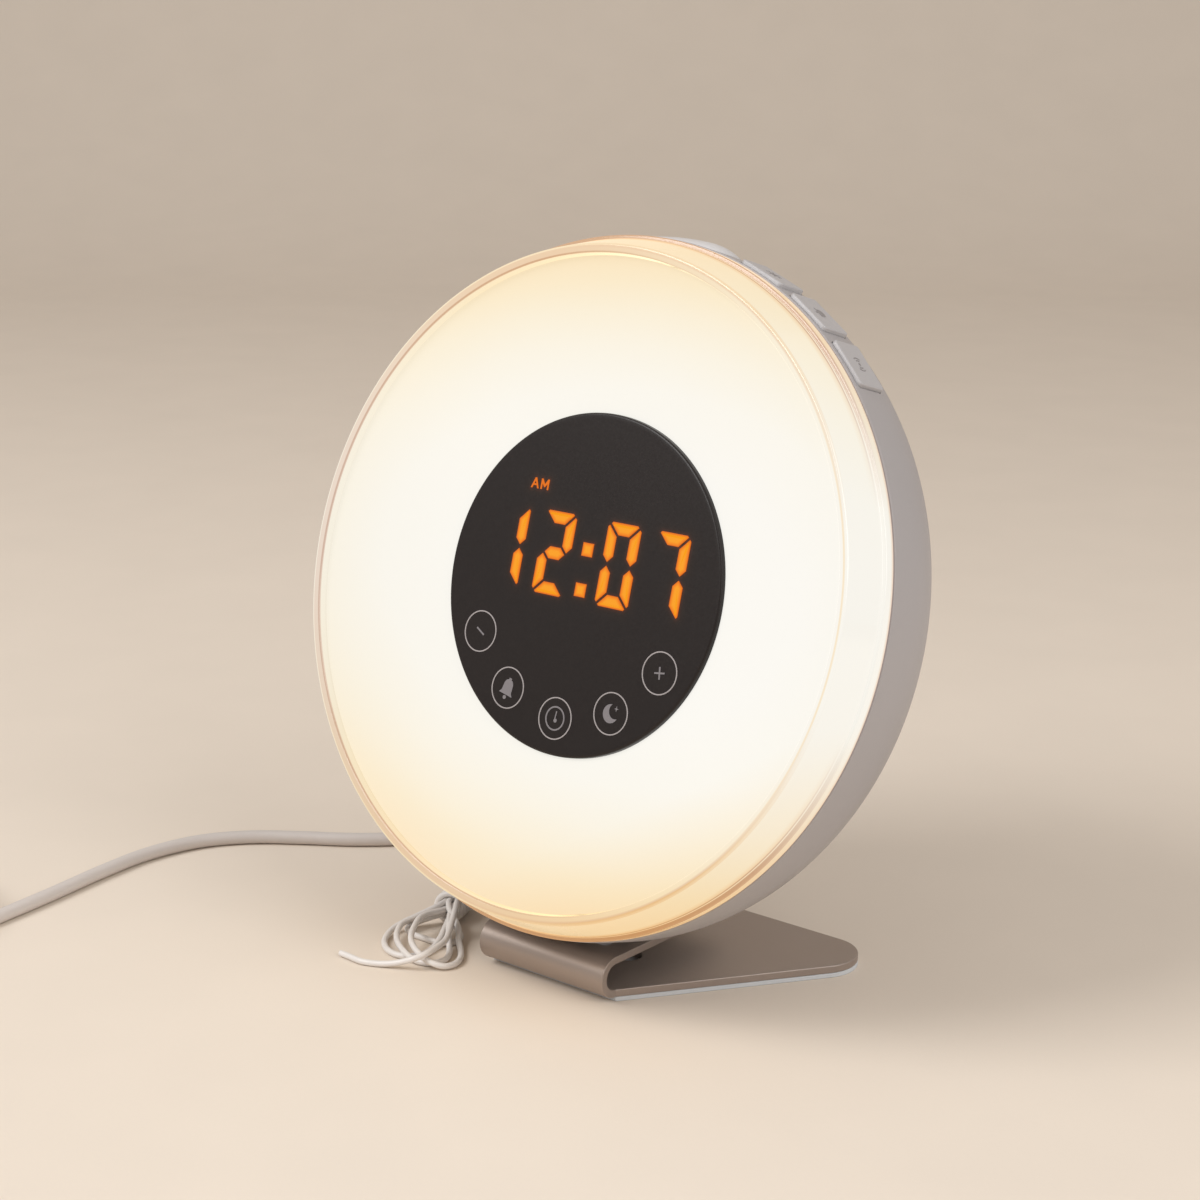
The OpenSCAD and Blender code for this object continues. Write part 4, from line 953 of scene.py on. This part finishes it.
panel_line = eased([(0, -2), (PANEL_R, -2), (PANEL_R, 0), (0, 0)], [0, 0.15, EASE, 0], 6, False)
panel_rings = [(0.5 * i, 0) for i in range(int(2 * (PANEL_R - EASE)) - 1, 0, -1)]
glass_panel = turned("glass_panel", panel_line[:-1] + panel_rings + panel_line[-1:], panel_acrylic)
store_glow(glass_panel)
print("faces of the panel:", faces_of(glass_panel))

# %% [markdown]
# ## The housing
# The back casing is moulded in one piece: a bowl, a block that stands on the foot, hollow screw
# posts, a case for the cell and bosses. It is built as it would be cut on a lathe and a mill: spin
# the bowl, add the block, hollow it, add the fittings inside, then cut every opening.

# %% Outlines and solids to cut with
BOWL_R, FLAT_R, FLANK_Z, BACK_Z, WALL = 86.0, 40.0, -13.0, -47.0, 2.2


def bowl_outline(grow, front, steps=40):
    """Outline of the bowl moved outward by grow, from its front edge to the middle of its back."""
    line = [(0, front), (BOWL_R + grow, front)]
    for i in range(steps + 1):
        a = math.radians(90) * i / steps
        line.append((FLAT_R + (BOWL_R + grow - FLAT_R) * math.cos(a),
                     FLANK_Z + (BACK_Z - FLANK_Z - grow) * math.sin(a)))
    return line + [(0, BACK_Z - grow)]


def disc(x, y, r, steps=32):
    """Points of a circle."""
    turns = [2 * math.pi * i / steps for i in range(steps)]
    return [(x + r * math.cos(a), y + r * math.sin(a)) for a in turns]


def round_box(w, h, corner, steps=5, x=0, y=0):
    """Points of a rectangle with round corners."""
    points = []
    for quarter, (sx, sy) in enumerate(((1, 1), (-1, 1), (-1, -1), (1, -1))):
        middle = (x + sx * (w / 2 - corner), y + sy * (h / 2 - corner))
        points += [polar(corner, 90 * quarter + 90 * k / steps, *middle) for k in range(steps + 1)]
    return points


def one_finish(piece, material):
    """Leaves a piece one material for all its faces."""
    piece.data.materials.clear()
    piece.data.materials.append(material)
    for face in piece.data.polygons:
        face.material_index = 0


def cut(piece, *tools, how="DIFFERENCE"):
    """Cuts tools out of a piece, or joins them to it, and removes them."""
    finish = [material for material in piece.data.materials if material][0]
    for tool in tools:
        one_finish(tool, finish)
        step = piece.modifiers.new(tool.name, "BOOLEAN")
        step.operation = how
        step.solver = "EXACT"
        step.object = tool
        keep_result(piece)
        bpy.data.objects.remove(tool)
    one_finish(piece, finish)
    piece.data.set_sharp_from_angle(angle=math.radians(HARD_EDGE))
    return piece


# %% Places and sizes of the openings and fittings
KEY_MID_Z = -10.8
KEY_ANGLES = (("light", 68.5), ("alarm", 57.2), ("radio", 45.9))
KEY_W, KEY_D, KEY_TOP, KEY_GAP = 13.4, 10.0, 86.9, 0.25
KEY_AXES = axes(Y_WAY, (0, 0, -1), X_WAY, (0, 0, KEY_MID_Z))
KEY_FRAMES = {kind: ON_LAMP @ Matrix.Rotation(math.radians(angle), 4, "Z") @ KEY_AXES
              for kind, angle in KEY_ANGLES}
SNOOZE_Z, SNOOZE_W, SNOOZE_D = -17.0, 33.0, 16.0
SNOOZE_FRAME = ON_LAMP @ axes(X_WAY, (0, 0, -1), Y_WAY, (0, 0, SNOOZE_Z))
POSTS = [polar(70.0, angle) for angle in (15, 165, 248, 292)]
POST_R, POST_END_Z, ROOT_Z = 4.0, -20.4, -46.6
STAND_SCREWS = [(-9, -12), (9, -12), (0, 4)]
SCREW_WELL_R, SCREW_BITE_R, SCREW_HOLE_R, SCREW_HEAD_HOLE_R = 3.0, 1.5, 1.65, 3.4
JACK, JACK_BOSS_R, JACK_HOLE_R = (-40, -40), 7.6, 5.65
AERIAL, AERIAL_BOSS_R, AERIAL_HOLE_R = (-52, -48), 4.4, 2.65
SPEAKER_Y, CELL_Y = 14.0, -24.0
CELL_CASE, CELL_WELL, DOOR_SEAT = [(*box, 0, CELL_Y) for box in (
    (29, 25, 0.5, 2), (23.4, 21.4, 0.5, 2), (27.8, 22.8, 3.2, 5))]
STAND_BLOCK, BLOCK_LOW, BLOCK_TOP = (28, 37.45, 1.5, 4, 0, -8.275), 11.7, 24


def pins(spots, r, low, high, steps=32, place=ON_LAMP):
    """Round prisms of one radius on spots."""
    return [(place, disc(x, y, r, steps), low, high) for x, y in spots]


print("posts:", len(POSTS), "stand screws:", len(STAND_SCREWS))

# %% [markdown]
# The loudspeaker's grille is a pattern of round holes in rings. A node tree sets a pin on each point
# of the pattern, and the pins are the tool that cuts the holes.

# %% Geometry Nodes: pins on points
GRILLE_PITCH, GRILLE_R, GRILLE_RINGS = 4.2, 1.1, 3


def pins_tree():
    """A node tree that sets an upright pin on every point."""
    tree, start, end = shape_tree("pins_on_points", "Pins", Points="Geometry", Radius="Float",
                                  Length="Float", Sides="Int")
    pin = add(tree, "GeometryNodeMeshCylinder", Radius=start["Radius"], Depth=start["Length"],
              Vertices=start["Sides"])
    return end_in_mesh(start, end, add(tree, "GeometryNodeInstanceOnPoints", Points=start["Points"],
                                       Instance=pin["Mesh"]))


grille_points = [(0, SPEAKER_Y, BACK_Z + 1)]
grille_points += [(*polar(ring * GRILLE_PITCH, 60 * i / ring, 0, SPEAKER_Y), BACK_Z + 1)
                  for ring in range(1, GRILLE_RINGS + 1) for i in range(6 * ring)]
grille_pins = by_tree("grille_pins", grille_points, pins_tree(), ON_LAMP, radius=GRILLE_R, length=4.4,
                      sides=20, finish=housing_plastic)
print("grille holes:", len(grille_points))

# %% Housing: bowl, block, cavity and fittings
housing_line = eased(bowl_outline(0, FRONT_Z), [0, 0.35] + [0] * 42)
bowl = turned("bowl_housing", housing_line, housing_plastic, 192, closed=False)
inside = pins(POSTS, POST_R, ROOT_Z, POST_END_Z)
inside.append((ON_LAMP, round_box(*CELL_CASE), ROOT_Z + 0.1, -35.8))
inside += pins([JACK], JACK_BOSS_R, ROOT_Z, -35)
fittings = solids("fittings", inside, housing_plastic)
fittings_limit = turned("fittings_limit", bowl_outline(-0.6, FRONT_Z), housing_plastic, 128, closed=False)
cut(fittings, fittings_limit, how="INTERSECT")
block = solids("block", [(IN_ROOM, round_box(*STAND_BLOCK), BLOCK_LOW, BLOCK_TOP)])
cavity = turned("cavity", bowl_outline(-WALL, 0), housing_plastic, 128, closed=False)
aerial_boss = solids("aerial_boss", pins([AERIAL], AERIAL_BOSS_R, -40.775, -32.775, 40))
cut(bowl, block, how="UNION")
cut(bowl, cavity)
cut(bowl, fittings, aerial_boss, how="UNION")
print("faces of the housing before its openings:", faces_of(bowl))

# %% Housing: openings
windows = [(place, round_box(KEY_W + 2 * KEY_GAP, KEY_D + 2 * KEY_GAP, 1.25), 82.1, 92)
           for place in KEY_FRAMES.values()]
windows.append((SNOOZE_FRAME, round_box(SNOOZE_W + 0.5, SNOOZE_D + 0.5, 8.2, 10), 72, 90))
recesses = pins(POSTS, SCREW_WELL_R, -60, -30) + [(ON_LAMP, round_box(*DOOR_SEAT), -50, -45.1)]
recesses += pins([JACK], JACK_HOLE_R, -55, -30) + pins([AERIAL], AERIAL_HOLE_R, -55, -30)
recesses += pins(STAND_SCREWS, SCREW_BITE_R, 11, 22, 20, IN_ROOM)
bores = pins(POSTS, SCREW_HOLE_R, -31, -19, 20) + [(ON_LAMP, round_box(*CELL_WELL), -46, -37.6)]
cut(bowl, solids("windows", windows), solids("recesses", recesses), solids("bores", bores), grille_pins)
print("faces of the housing:", faces_of(bowl))


# %% [markdown]
# ## Keys
# A moulded key has eased edges, a lip inside the housing that stops it from falling out, and a small
# printed mark. It is drawn as a stack of outlines, each a little smaller as the edge rounds over.

# %% Shapes of the keys and their marks
def eased_end(w, h, corner, face, ease, steps=4):
    """Levels of a rounded box that ease over into its flat top at a height."""
    levels = []
    for k in range(steps + 1):
        a = math.radians(90 * k / steps)
        levels.append((ease * (1 - math.cos(a)), face - ease * (1 - math.sin(a))))
    levels.append((ease + 0.3, face))
    return [(round_box(w - 2 * by, h - 2 * by, max(corner - by, 0.1)), z) for by, z in levels]


def arc_band(r, width, low, high, steps=10):
    """Outline of part of a ring between two angles in degrees."""
    angles = [low + (high - low) * i / steps for i in range(steps + 1)]
    return [polar(r + width / 2, a) for a in angles] + [polar(r - width / 2, a) for a in angles[::-1]]


def turned_about(outline, degrees):
    """An outline turned about the middle."""
    c, s = polar(1, degrees)
    return [(c * x - s * y, s * x + c * y) for x, y in outline]


def key_mark(kind):
    """Outlines of a key's mark: a sun, a bell or a broadcast sign."""
    if kind == "light":
        rays = [turned_about(boxed(1.35, -0.16, 2.1, 0.16), 45 * i) for i in range(8)]
        return [disc(0, 0, 0.95, 20)] + rays
    if kind == "alarm":
        bell = [(x * 1.15, y + 0.3) for x, y in arc_band(0.6, 1.2, 10, 170)[:11]]
        bell += [(-1.35, -0.5), (-1.75, -1.1), (1.75, -1.1), (1.35, -0.5)]
        return [bell, disc(0, -1.6, 0.35, 12)]
    waves = [turned_about(arc_band(r, 0.32, -38, 38), side) for r in (1.1, 1.9) for side in (0, 180)]
    return [disc(0, 0, 0.42, 12)] + waves


# %% Side keys
LIP = round_box(KEY_W + 2, KEY_D + 2, 1)
KEY_LEVELS = [(LIP, 80.8), (LIP, 82.1), (round_box(KEY_W, KEY_D, 1), 82.1)]
KEY_LEVELS += eased_end(KEY_W, KEY_D, 1, KEY_TOP - 0.12, 0.35)
keys = {}
for kind, place in KEY_FRAMES.items():
    mark = [(place, [(-x, y) for x, y in outline], KEY_TOP - 0.13, KEY_TOP - 0.05)
            for outline in key_mark(kind)]
    keys[kind] = (stacked(f"key_{kind}_cap", KEY_LEVELS, place, key_plastic),
                  solids(f"key_{kind}_mark", mark, mark_ink))
print("keys:", list(keys))

# %% [markdown]
# The snooze button is a long soft dome that follows the curve of the housing. Its outline is shrunk
# ring by ring towards its middle line, and each ring is lifted a little more off the housing.

# %% Snooze button
SNOOZE_RISE, SNOOZE_SUNK = 1.9, 0.3
DOME_RINGS = 22


def bowl_radius(z):
    """Outer radius of the housing at a depth."""
    share = max(0.0, (FLANK_Z - z) / (FLANK_Z - BACK_Z))
    return FLAT_R + (BOWL_R - FLAT_R) * math.sqrt(1 - share ** 2)


def pill_points(share, straight=16, round_steps=12):
    """Points of the button's outline shrunk to a share of its half depth, as x and depth."""
    half, r = (SNOOZE_W - SNOOZE_D) / 2, SNOOZE_D / 2 * share
    points = []
    for side in (1, -1):
        for k in range(round_steps):
            x, z = polar(r, -90 + 180 * k / round_steps)
            points.append((side * (half + x), side * z))
        points += [(side * half * (1 - 2 * k / straight), side * r) for k in range(straight)]
    return [(x, SNOOZE_Z + z) for x, z in points]


def snooze_ring(share, lift):
    """A ring of the button at a height over the housing's outside, in the lamp's frame."""
    return [(x, math.sqrt((bowl_radius(z) + lift) ** 2 - x * x), z) for x, z in pill_points(share)]


dome_shares = [1 - 0.5 * (1 - math.cos(math.pi * k / DOME_RINGS)) for k in range(DOME_RINGS)]
dome_rings = [snooze_ring(share, -3.4) for share in (0.02, 0.5, 1)]
dome_rings += [snooze_ring(s, (SNOOZE_RISE + SNOOZE_SUNK) * (1 - s ** 2.4) ** 0.62 - SNOOZE_SUNK)
               for s in dome_shares]
dome_shape = bmesh.new()
skin(dome_shape, dome_rings)
snooze_dome = new_piece("snooze_dome", dome_shape, ON_LAMP, snooze_plastic, 50)
print("faces of the button:", faces_of(snooze_dome))

# %% [markdown]
# ## The foot
# The real foot is one sheet of metal, cut flat with a narrow waist, folded once round a bar and
# coated. The side view of the fold is drawn and pushed sideways, the plate is joined to it, the
# screw holes are cut, and a small bevel breaks every edge.

# %% Foot
FOLD_Y, FOLD_Z, FOLD_OUT, FOLD_IN = -30.55, 6.45, 5.25, 3.25
FLAP_END, FLAP_LOW, FLAP_TOP = 13.45, 9.7, 11.7
WAIST = 20.2
REAR_CORNER, REAR_R = (44.0, 21.0), 10.0
PAD_T, PLATE_TOP = 1.2, 3.2
SIDEWAYS = IN_ROOM @ axes(Y_WAY, Z_WAY, X_WAY)


def foot_outline(steps=16):
    """Outline of the foot's plate, from the fold to the round rear corners."""
    way = Vector(REAR_CORNER) - Vector((WAIST, FOLD_Y))
    side = math.atan2(way.y, way.x) - math.asin(REAR_R / way.length)
    right = [(WAIST, FOLD_Y)]
    for i in range(steps + 1):
        a = side - math.pi / 2 + (math.pi - side) * i / steps
        right.append(polar(REAR_R, math.degrees(a), *REAR_CORNER))
    return right + [(-x, y) for x, y in reversed(right)]


def sheet_outline(steps=32):
    """Side view of the folded sheet, as y, z points: flap, fold and the start of the plate."""
    angles = [90 + 180 * i / steps for i in range(steps + 1)]
    return [(FLAP_END, FLAP_TOP), (FLAP_END, FLAP_LOW)] + [
        polar(FOLD_IN, a, FOLD_Y, FOLD_Z) for a in angles] + [
        polar(FOLD_OUT, a, FOLD_Y, FOLD_Z) for a in angles[::-1]]


def bevelled(piece, width, steps=3):
    """Breaks a piece's sharp edges."""
    step = piece.modifiers.new("edges", "BEVEL")
    step.width = width * MM
    step.segments = steps
    step.limit_method = "ANGLE"
    step.angle_limit = math.radians(30)
    step.harden_normals = True
    return keep_result(piece)


folded = solids("folded_foot", [(SIDEWAYS, sheet_outline(), -WAIST, WAIST)], foot_metal)
plate = solids("foot_plate", [(IN_ROOM, foot_outline(), PAD_T, PLATE_TOP)])
foot_holes = pins(STAND_SCREWS, SCREW_HOLE_R, 9, 12.5, 24, IN_ROOM)
foot_holes += pins(STAND_SCREWS, SCREW_HEAD_HOLE_R, 1, 4, 32, IN_ROOM)
cut(folded, plate, how="UNION")
cut(folded, solids("foot_holes", foot_holes))
bevelled(folded, 0.3)
pad = solids("foot_foam", [(IN_ROOM, foot_outline(), 0, PAD_T)], pad_foam)
bevelled(pad, 0.25, 2)
print("faces of the foot and its pad:", faces_of(folded, pad))

# %% [markdown]
# ## Screws
# All the screws are the same shape at different lengths, with a cross in the head. One is made for
# each length, and a node tree sets it on its points and turns each copy by chance, as a hand would.

# %% Geometry Nodes: copies on points
HEAD_R, HEAD_T, SHANK_R = 2.8, 1.8, 1.45


def copies_tree():
    """A node tree that sets an object on every point and turns each copy about z by chance."""
    tree, start, end = shape_tree("copies_on_points", "Copies", Points="Geometry", Copy="Object",
                                  Turn_Seed="Int")
    source = add(tree, "GeometryNodeObjectInfo", Object=start["Copy"])
    chance = add(tree, "FunctionNodeRandomValue", {"data_type": "FLOAT"}, _3=2 * math.pi,
                 Seed=start["Turn Seed"])
    turn = add(tree, "ShaderNodeCombineXYZ", Z=chance[1])
    return end_in_mesh(start, end, add(tree, "GeometryNodeInstanceOnPoints", Points=start["Points"],
                                       Instance=source["Geometry"], Rotation=turn))


def screw_shape(length):
    """A screw with its head below z = 0, a domed head and a cross recess."""
    sizes = [(SHANK_R * 0.7, length), (SHANK_R, length - 0.6), (SHANK_R, 0), (HEAD_R, 0),
             (HEAD_R, -0.45 * HEAD_T), (HEAD_R * 0.9, -0.8 * HEAD_T), (HEAD_R * 0.62, -HEAD_T)]
    screw = stacked("screw", [(disc(0, 0, r, 24), z) for r, z in sizes], Matrix.Identity(4), bright_steel)
    arm, slot = HEAD_R * 0.62, HEAD_R * 0.14
    for outline in (boxed(-arm, -slot, arm, slot), boxed(-slot, -arm, slot, arm)):
        cut(screw, solids("cross", [(Matrix.Identity(4), outline, -HEAD_T - 1, -0.35 * HEAD_T)]))
    return screw


def screws(name, points, seed, place, length):
    """A group of equal screws with their heads below the points."""
    one = screw_shape(length)
    group = by_tree(name, points, COPIES, place, copy=one, turn_seed=seed, finish=bright_steel)
    bpy.data.objects.remove(one)
    return group


COPIES = copies_tree()
case_screws = screws("case_screws", [(x, y, -30) for x, y in POSTS], 3, ON_LAMP, 16)
foot_screws = screws("foot_screws", [(x, y, FLAP_LOW) for x, y in STAND_SCREWS], 5, IN_ROOM, 11)
print("faces of the screws:", faces_of(case_screws, foot_screws))

# %% [markdown]
# ## The back: battery door, power plug and relief
# The door is a thin plate with eased edges and a round dent for a finger. The plug and its bend
# relief are turned, with ribs for grip and slits that let the relief bend.

# %% Battery door
DOOR_FRAME = ON_LAMP @ axes((-1, 0, 0), Y_WAY, (0, 0, -1), (0, CELL_Y, 0))
DOOR = (27.4, 22.4, 3.0)
door_levels = [(round_box(*DOOR), 45.2)] + eased_end(*DOOR, -BACK_Z, 0.3)
cell_door = stacked("cell_door", door_levels, DOOR_FRAME, housing_plastic)
dent = solids("dent", [(DOOR_FRAME, disc(0, 7.8, 2.2), 46.2, 52)])
arrow = solids("arrow", [(DOOR_FRAME, [(-2.2, 2.4), (2.2, 2.4), (0, 4.6)], 46.75, 52)])
cut(cell_door, dent, arrow)
ribs = [(DOOR_FRAME, boxed(x - 0.6, -6, x + 0.6, 6), 43.8, 45.4) for x in (-10.9, 10.9)]
cut(cell_door, solids("door_ribs", ribs), how="UNION")
print("faces of the door:", faces_of(cell_door))

# %% Plug and bend relief
PLUG_FACE, PLUG_BACK, RELIEF_END = -43.518, -63.518, -83.518
GRIP_R = 4.8
AT_JACK = ON_LAMP @ Matrix.Translation((*JACK, 0))


def ribbed(start, end, first_r, last_r, ribs_count, depth):
    """Outline points from one height to another with grooves between ribs."""
    line = []
    for i in range(ribs_count):
        for share, dip in ((0.0, 0.0), (0.45, 0.0), (0.6, depth), (0.85, depth)):
            t = (i + share) / ribs_count
            line.append((first_r + (last_r - first_r) * t - dip, start + (end - start) * t))
    return line + [(last_r, end)]


def plug_part(name, line, material):
    """A piece turned about the middle of the inlet."""
    return turned(name, line, material, 48, closed=False, place=AT_JACK)


grip_line = [(0, PLUG_FACE), (4.0, PLUG_FACE), (GRIP_R, PLUG_FACE - 0.8)]
grip_line += ribbed(PLUG_FACE - 5, PLUG_BACK + 4, GRIP_R, GRIP_R, 8, 0.35)
grip_line += [(GRIP_R, PLUG_BACK + 1.2), (4.3, PLUG_BACK + 0.3), (3.7, PLUG_BACK), (0, PLUG_BACK)]
barrel_line = [(r, PLUG_FACE + z) for r, z in ((0, -0.5), (2.75, -0.5), (2.75, 9.1), (2.4, 9.5), (1.1, 9.5),
                                               (1.1, 0.5), (0, 0.5))]
relief_line = [(0, PLUG_BACK + 0.1), (3.6, PLUG_BACK + 0.1)]
relief_line += ribbed(PLUG_BACK - 0.6, RELIEF_END + 1.5, 3.55, 2.3, 9, 0.55)
relief_line += [(2.2, RELIEF_END), (0, RELIEF_END)]
plug_grip = plug_part("plug_grip", grip_line, cord_vinyl)
plug_barrel = plug_part("plug_barrel", barrel_line, bright_steel)
plug_relief = plug_part("plug_relief", relief_line, cord_vinyl)
print("faces of the plug:", faces_of(plug_grip, plug_barrel, plug_relief))

# %% [markdown]
# ## The far end of the power cord
# The cord ends in a flat plug for a charger. A soft strap holds the coil.

# %% Charger plug and strap
USB_LEN = 22.0
USB_FRAME = IN_ROOM @ axes(X_WAY, Z_WAY, Y_WAY, (-180.75, TURN_Y, PLUG_Z))
WIDE, GROOVE = round_box(15.6, 7.6, 1.6), round_box(15.0, 7.6, 1.4)
usb_levels = [(round_box(6.4, 5.0, 1.6), 0), (round_box(7.6, 5.6, 1.6), 0.5), (round_box(9.4, 6.2, 1.6), 3),
              (round_box(14.4, 7.4, 1.6), 5.5), (WIDE, 7)]
for z in [8.5 + 2.2 * groove for groove in range(4)]:
    usb_levels += [(WIDE, z), (GROOVE, z + 0.3), (GROOVE, z + 1.0), (WIDE, z + 1.3)]
usb_levels += eased_end(15.6, 7.6, 1.6, USB_LEN, 0.5)
usb_grip = stacked("usb_grip", usb_levels, USB_FRAME, cord_vinyl)


def sleeve(name, outer, inner, low, high, *look):
    """A tube of any section: an outer and an inner outline with as many points, between two heights."""
    return stacked(name, [(outer, low), (outer, high), (inner, high), (inner, low)], *look, loop=True)


usb_shell = sleeve("usb_shell", round_box(12, 4.5, 0.5), round_box(11.2, 3.7, 0.3), USB_LEN - 0.2,
                   USB_LEN + 12, USB_FRAME, bright_steel)
latches = [(USB_FRAME, boxed(x - 1.1, 1, x + 1.1, 3), USB_LEN + 4.5, USB_LEN + 6.9) for x in (-2.9, 2.9)]
cut(usb_shell, solids("latches", latches))
usb_tongue = solids("usb_tongue", [(USB_FRAME, boxed(-5.6, -1.85, 5.6, -0.2), USB_LEN - 0.1, USB_LEN + 11)],
                    black_plastic)
TIE_FRAME = IN_ROOM @ axes(Y_WAY, Z_WAY, X_WAY, (COIL_X, COIL_Y + 20.8, 6.22))
coil_strap = sleeve("coil_strap", round_box(12.6, 12.4, 1.8), round_box(11.8, 11.6, 1.5), -3.5, 3.5,
                    TIE_FRAME, tie_hook)
print("faces of the far plug and the strap:", faces_of(usb_grip, usb_shell, coil_strap))

# %% [markdown]
# ## Every piece rides on its body
# What replaces a solid says so, names the record's material slot and the body that it moves with.

# %% Rides and replacements
STANDS_FOR = [
    (milky_face, "face_milky", "diffuser_face"), (clear_ring, "rim_clear", "clear_rim"),
    (glass_panel, "panel_black", "touch_panel"), (lit_digits, "digit_amber", "display_digits"),
    (bowl, "housing_white", "rear_housing"), (snooze_dome, "button_white", "snooze_button", "snooze"),
    (folded, "stand_metal", "stand"), (pad, "pad_grey", "foot_pad"),
    (case_screws, "screw_steel", "housing_screws"), (foot_screws, "screw_steel", "stand_screws"),
    (cell_door, "housing_white", "battery_door", "battery_cover"), (plug_grip, "plug_white", "power_plug"),
    (plug_barrel, "shell_steel", "power_plug"), (plug_relief, "plug_white", "plug_strain_relief"),
    (usb_grip, "plug_white", "usb_plug_body"), (usb_shell, "shell_steel", "usb_plug_shell"),
    (usb_tongue, "module_black", "usb_plug_shell"), (coil_strap, "speaker_black", ""),
    (power_cord, "plug_white", "power_cord power_cord_coil"),
    (aerial, "wire_white", "aerial_lead aerial_hank aerial_tail"),
]
for kind, (cap, mark) in keys.items():
    STANDS_FOR.append((cap, "button_white", f"key_{kind}", f"{kind}_key"))
    STANDS_FOR.append((mark, "icon_grey", f"key_{kind}", f"{kind}_key"))
for piece, slot, nodes, *body in STANDS_FOR:
    if nodes:
        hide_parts(*nodes.split())
    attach(piece, body[0] if body else "clock")
print("pieces:", len(STANDS_FOR))

# %% [markdown]
# ## Finishes of the inner pieces
# The solids inside keep their shape. Each gets the finish of what it is made of, so that a part that
# is opened up still looks real.

# %% Inner pieces
INNER = {
    icon_ink: "touch_icons", black_plastic: "display_module power_jack speaker_frame key_switches",
    board_mask: "touch_board main_board key_board", light_board: "led_board", phosphor: "leds",
    inner_plastic: "display_holder front_chassis", chip_epoxy: "board_chips", cone_paper: "speaker_cone",
    bright_steel: "touch_springs board_screws speaker_screws speaker_magnet",
    cell_steel: "coin_cell", contact_gold: "battery_contacts", ribbon_film: "ribbon_cable",
    cord_vinyl: "aerial_grommet",
}
for material, nodes in INNER.items():
    for node in nodes.split():
        for material_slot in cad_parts[node].material_slots:
            material_slot.material = material
print("inner finishes:", sum(len(nodes.split()) for nodes in INNER.values()))

# %% [markdown]
# ## Floor and light
# A pale floor that sweeps up behind, and soft light from two large lamps and an even sky.

# %% Floor, lamps and sky
FLOOR_FRONT, FLOOR_BACK, SWEEP_R, WALL_TOP, HALF_WIDTH = -2.5, 1.2, 0.6, 3, 4
LAMP_AIM = (0, 0, 0.08)
SKY, SKY_STRENGTH = (0.99, 0.97, 0.955, 1), 0.52

floor_paint = new_material("floor_paint", (226, 213, 198), 0.9)
sweep = [(FLOOR_FRONT, 0), (FLOOR_BACK, 0)]
sweep += [polar(SWEEP_R, angle - 90, FLOOR_BACK, SWEEP_R) for angle in range(10, 91, 10)]
sweep.append((FLOOR_BACK + SWEEP_R, WALL_TOP))
ground = bmesh.new()
rows = [[ground.verts.new((x, y, z)) for x in (-HALF_WIDTH, HALF_WIDTH)] for y, z in sweep]
for low, high in zip(rows, rows[1:]):
    ground.faces.new((low[0], low[1], high[1], high[0]))
floor = new_piece("floor", ground, Matrix.Rotation(math.radians(CAMERA_ROUND), 4, "Z"), floor_paint, 180)
world = bpy.data.worlds.new("sky")
bpy.context.scene.world = world
world.use_nodes = True
feed(world.node_tree.nodes["Background"], Color=SKY, Strength=SKY_STRENGTH)


def soft_lamp(name, place, size, watts):
    """A square lamp at a place, turned to the clock."""
    lamp = link(name, bpy.data.lights.new(name, "AREA"))
    lamp.data.size = size
    lamp.data.energy = watts
    lamp.location = place
    lamp.rotation_euler = (Vector(LAMP_AIM) - Vector(place)).to_track_quat("-Z", "Y").to_euler()


soft_lamp("key_light_box", (-0.5, -0.9, 1.0), 0.7, 11)
soft_lamp("fill_light_box", (0.9, -0.1, 0.7), 0.8, 5)
bpy.context.scene.view_settings.view_transform = "Standard"
print("floor rows:", len(rows))
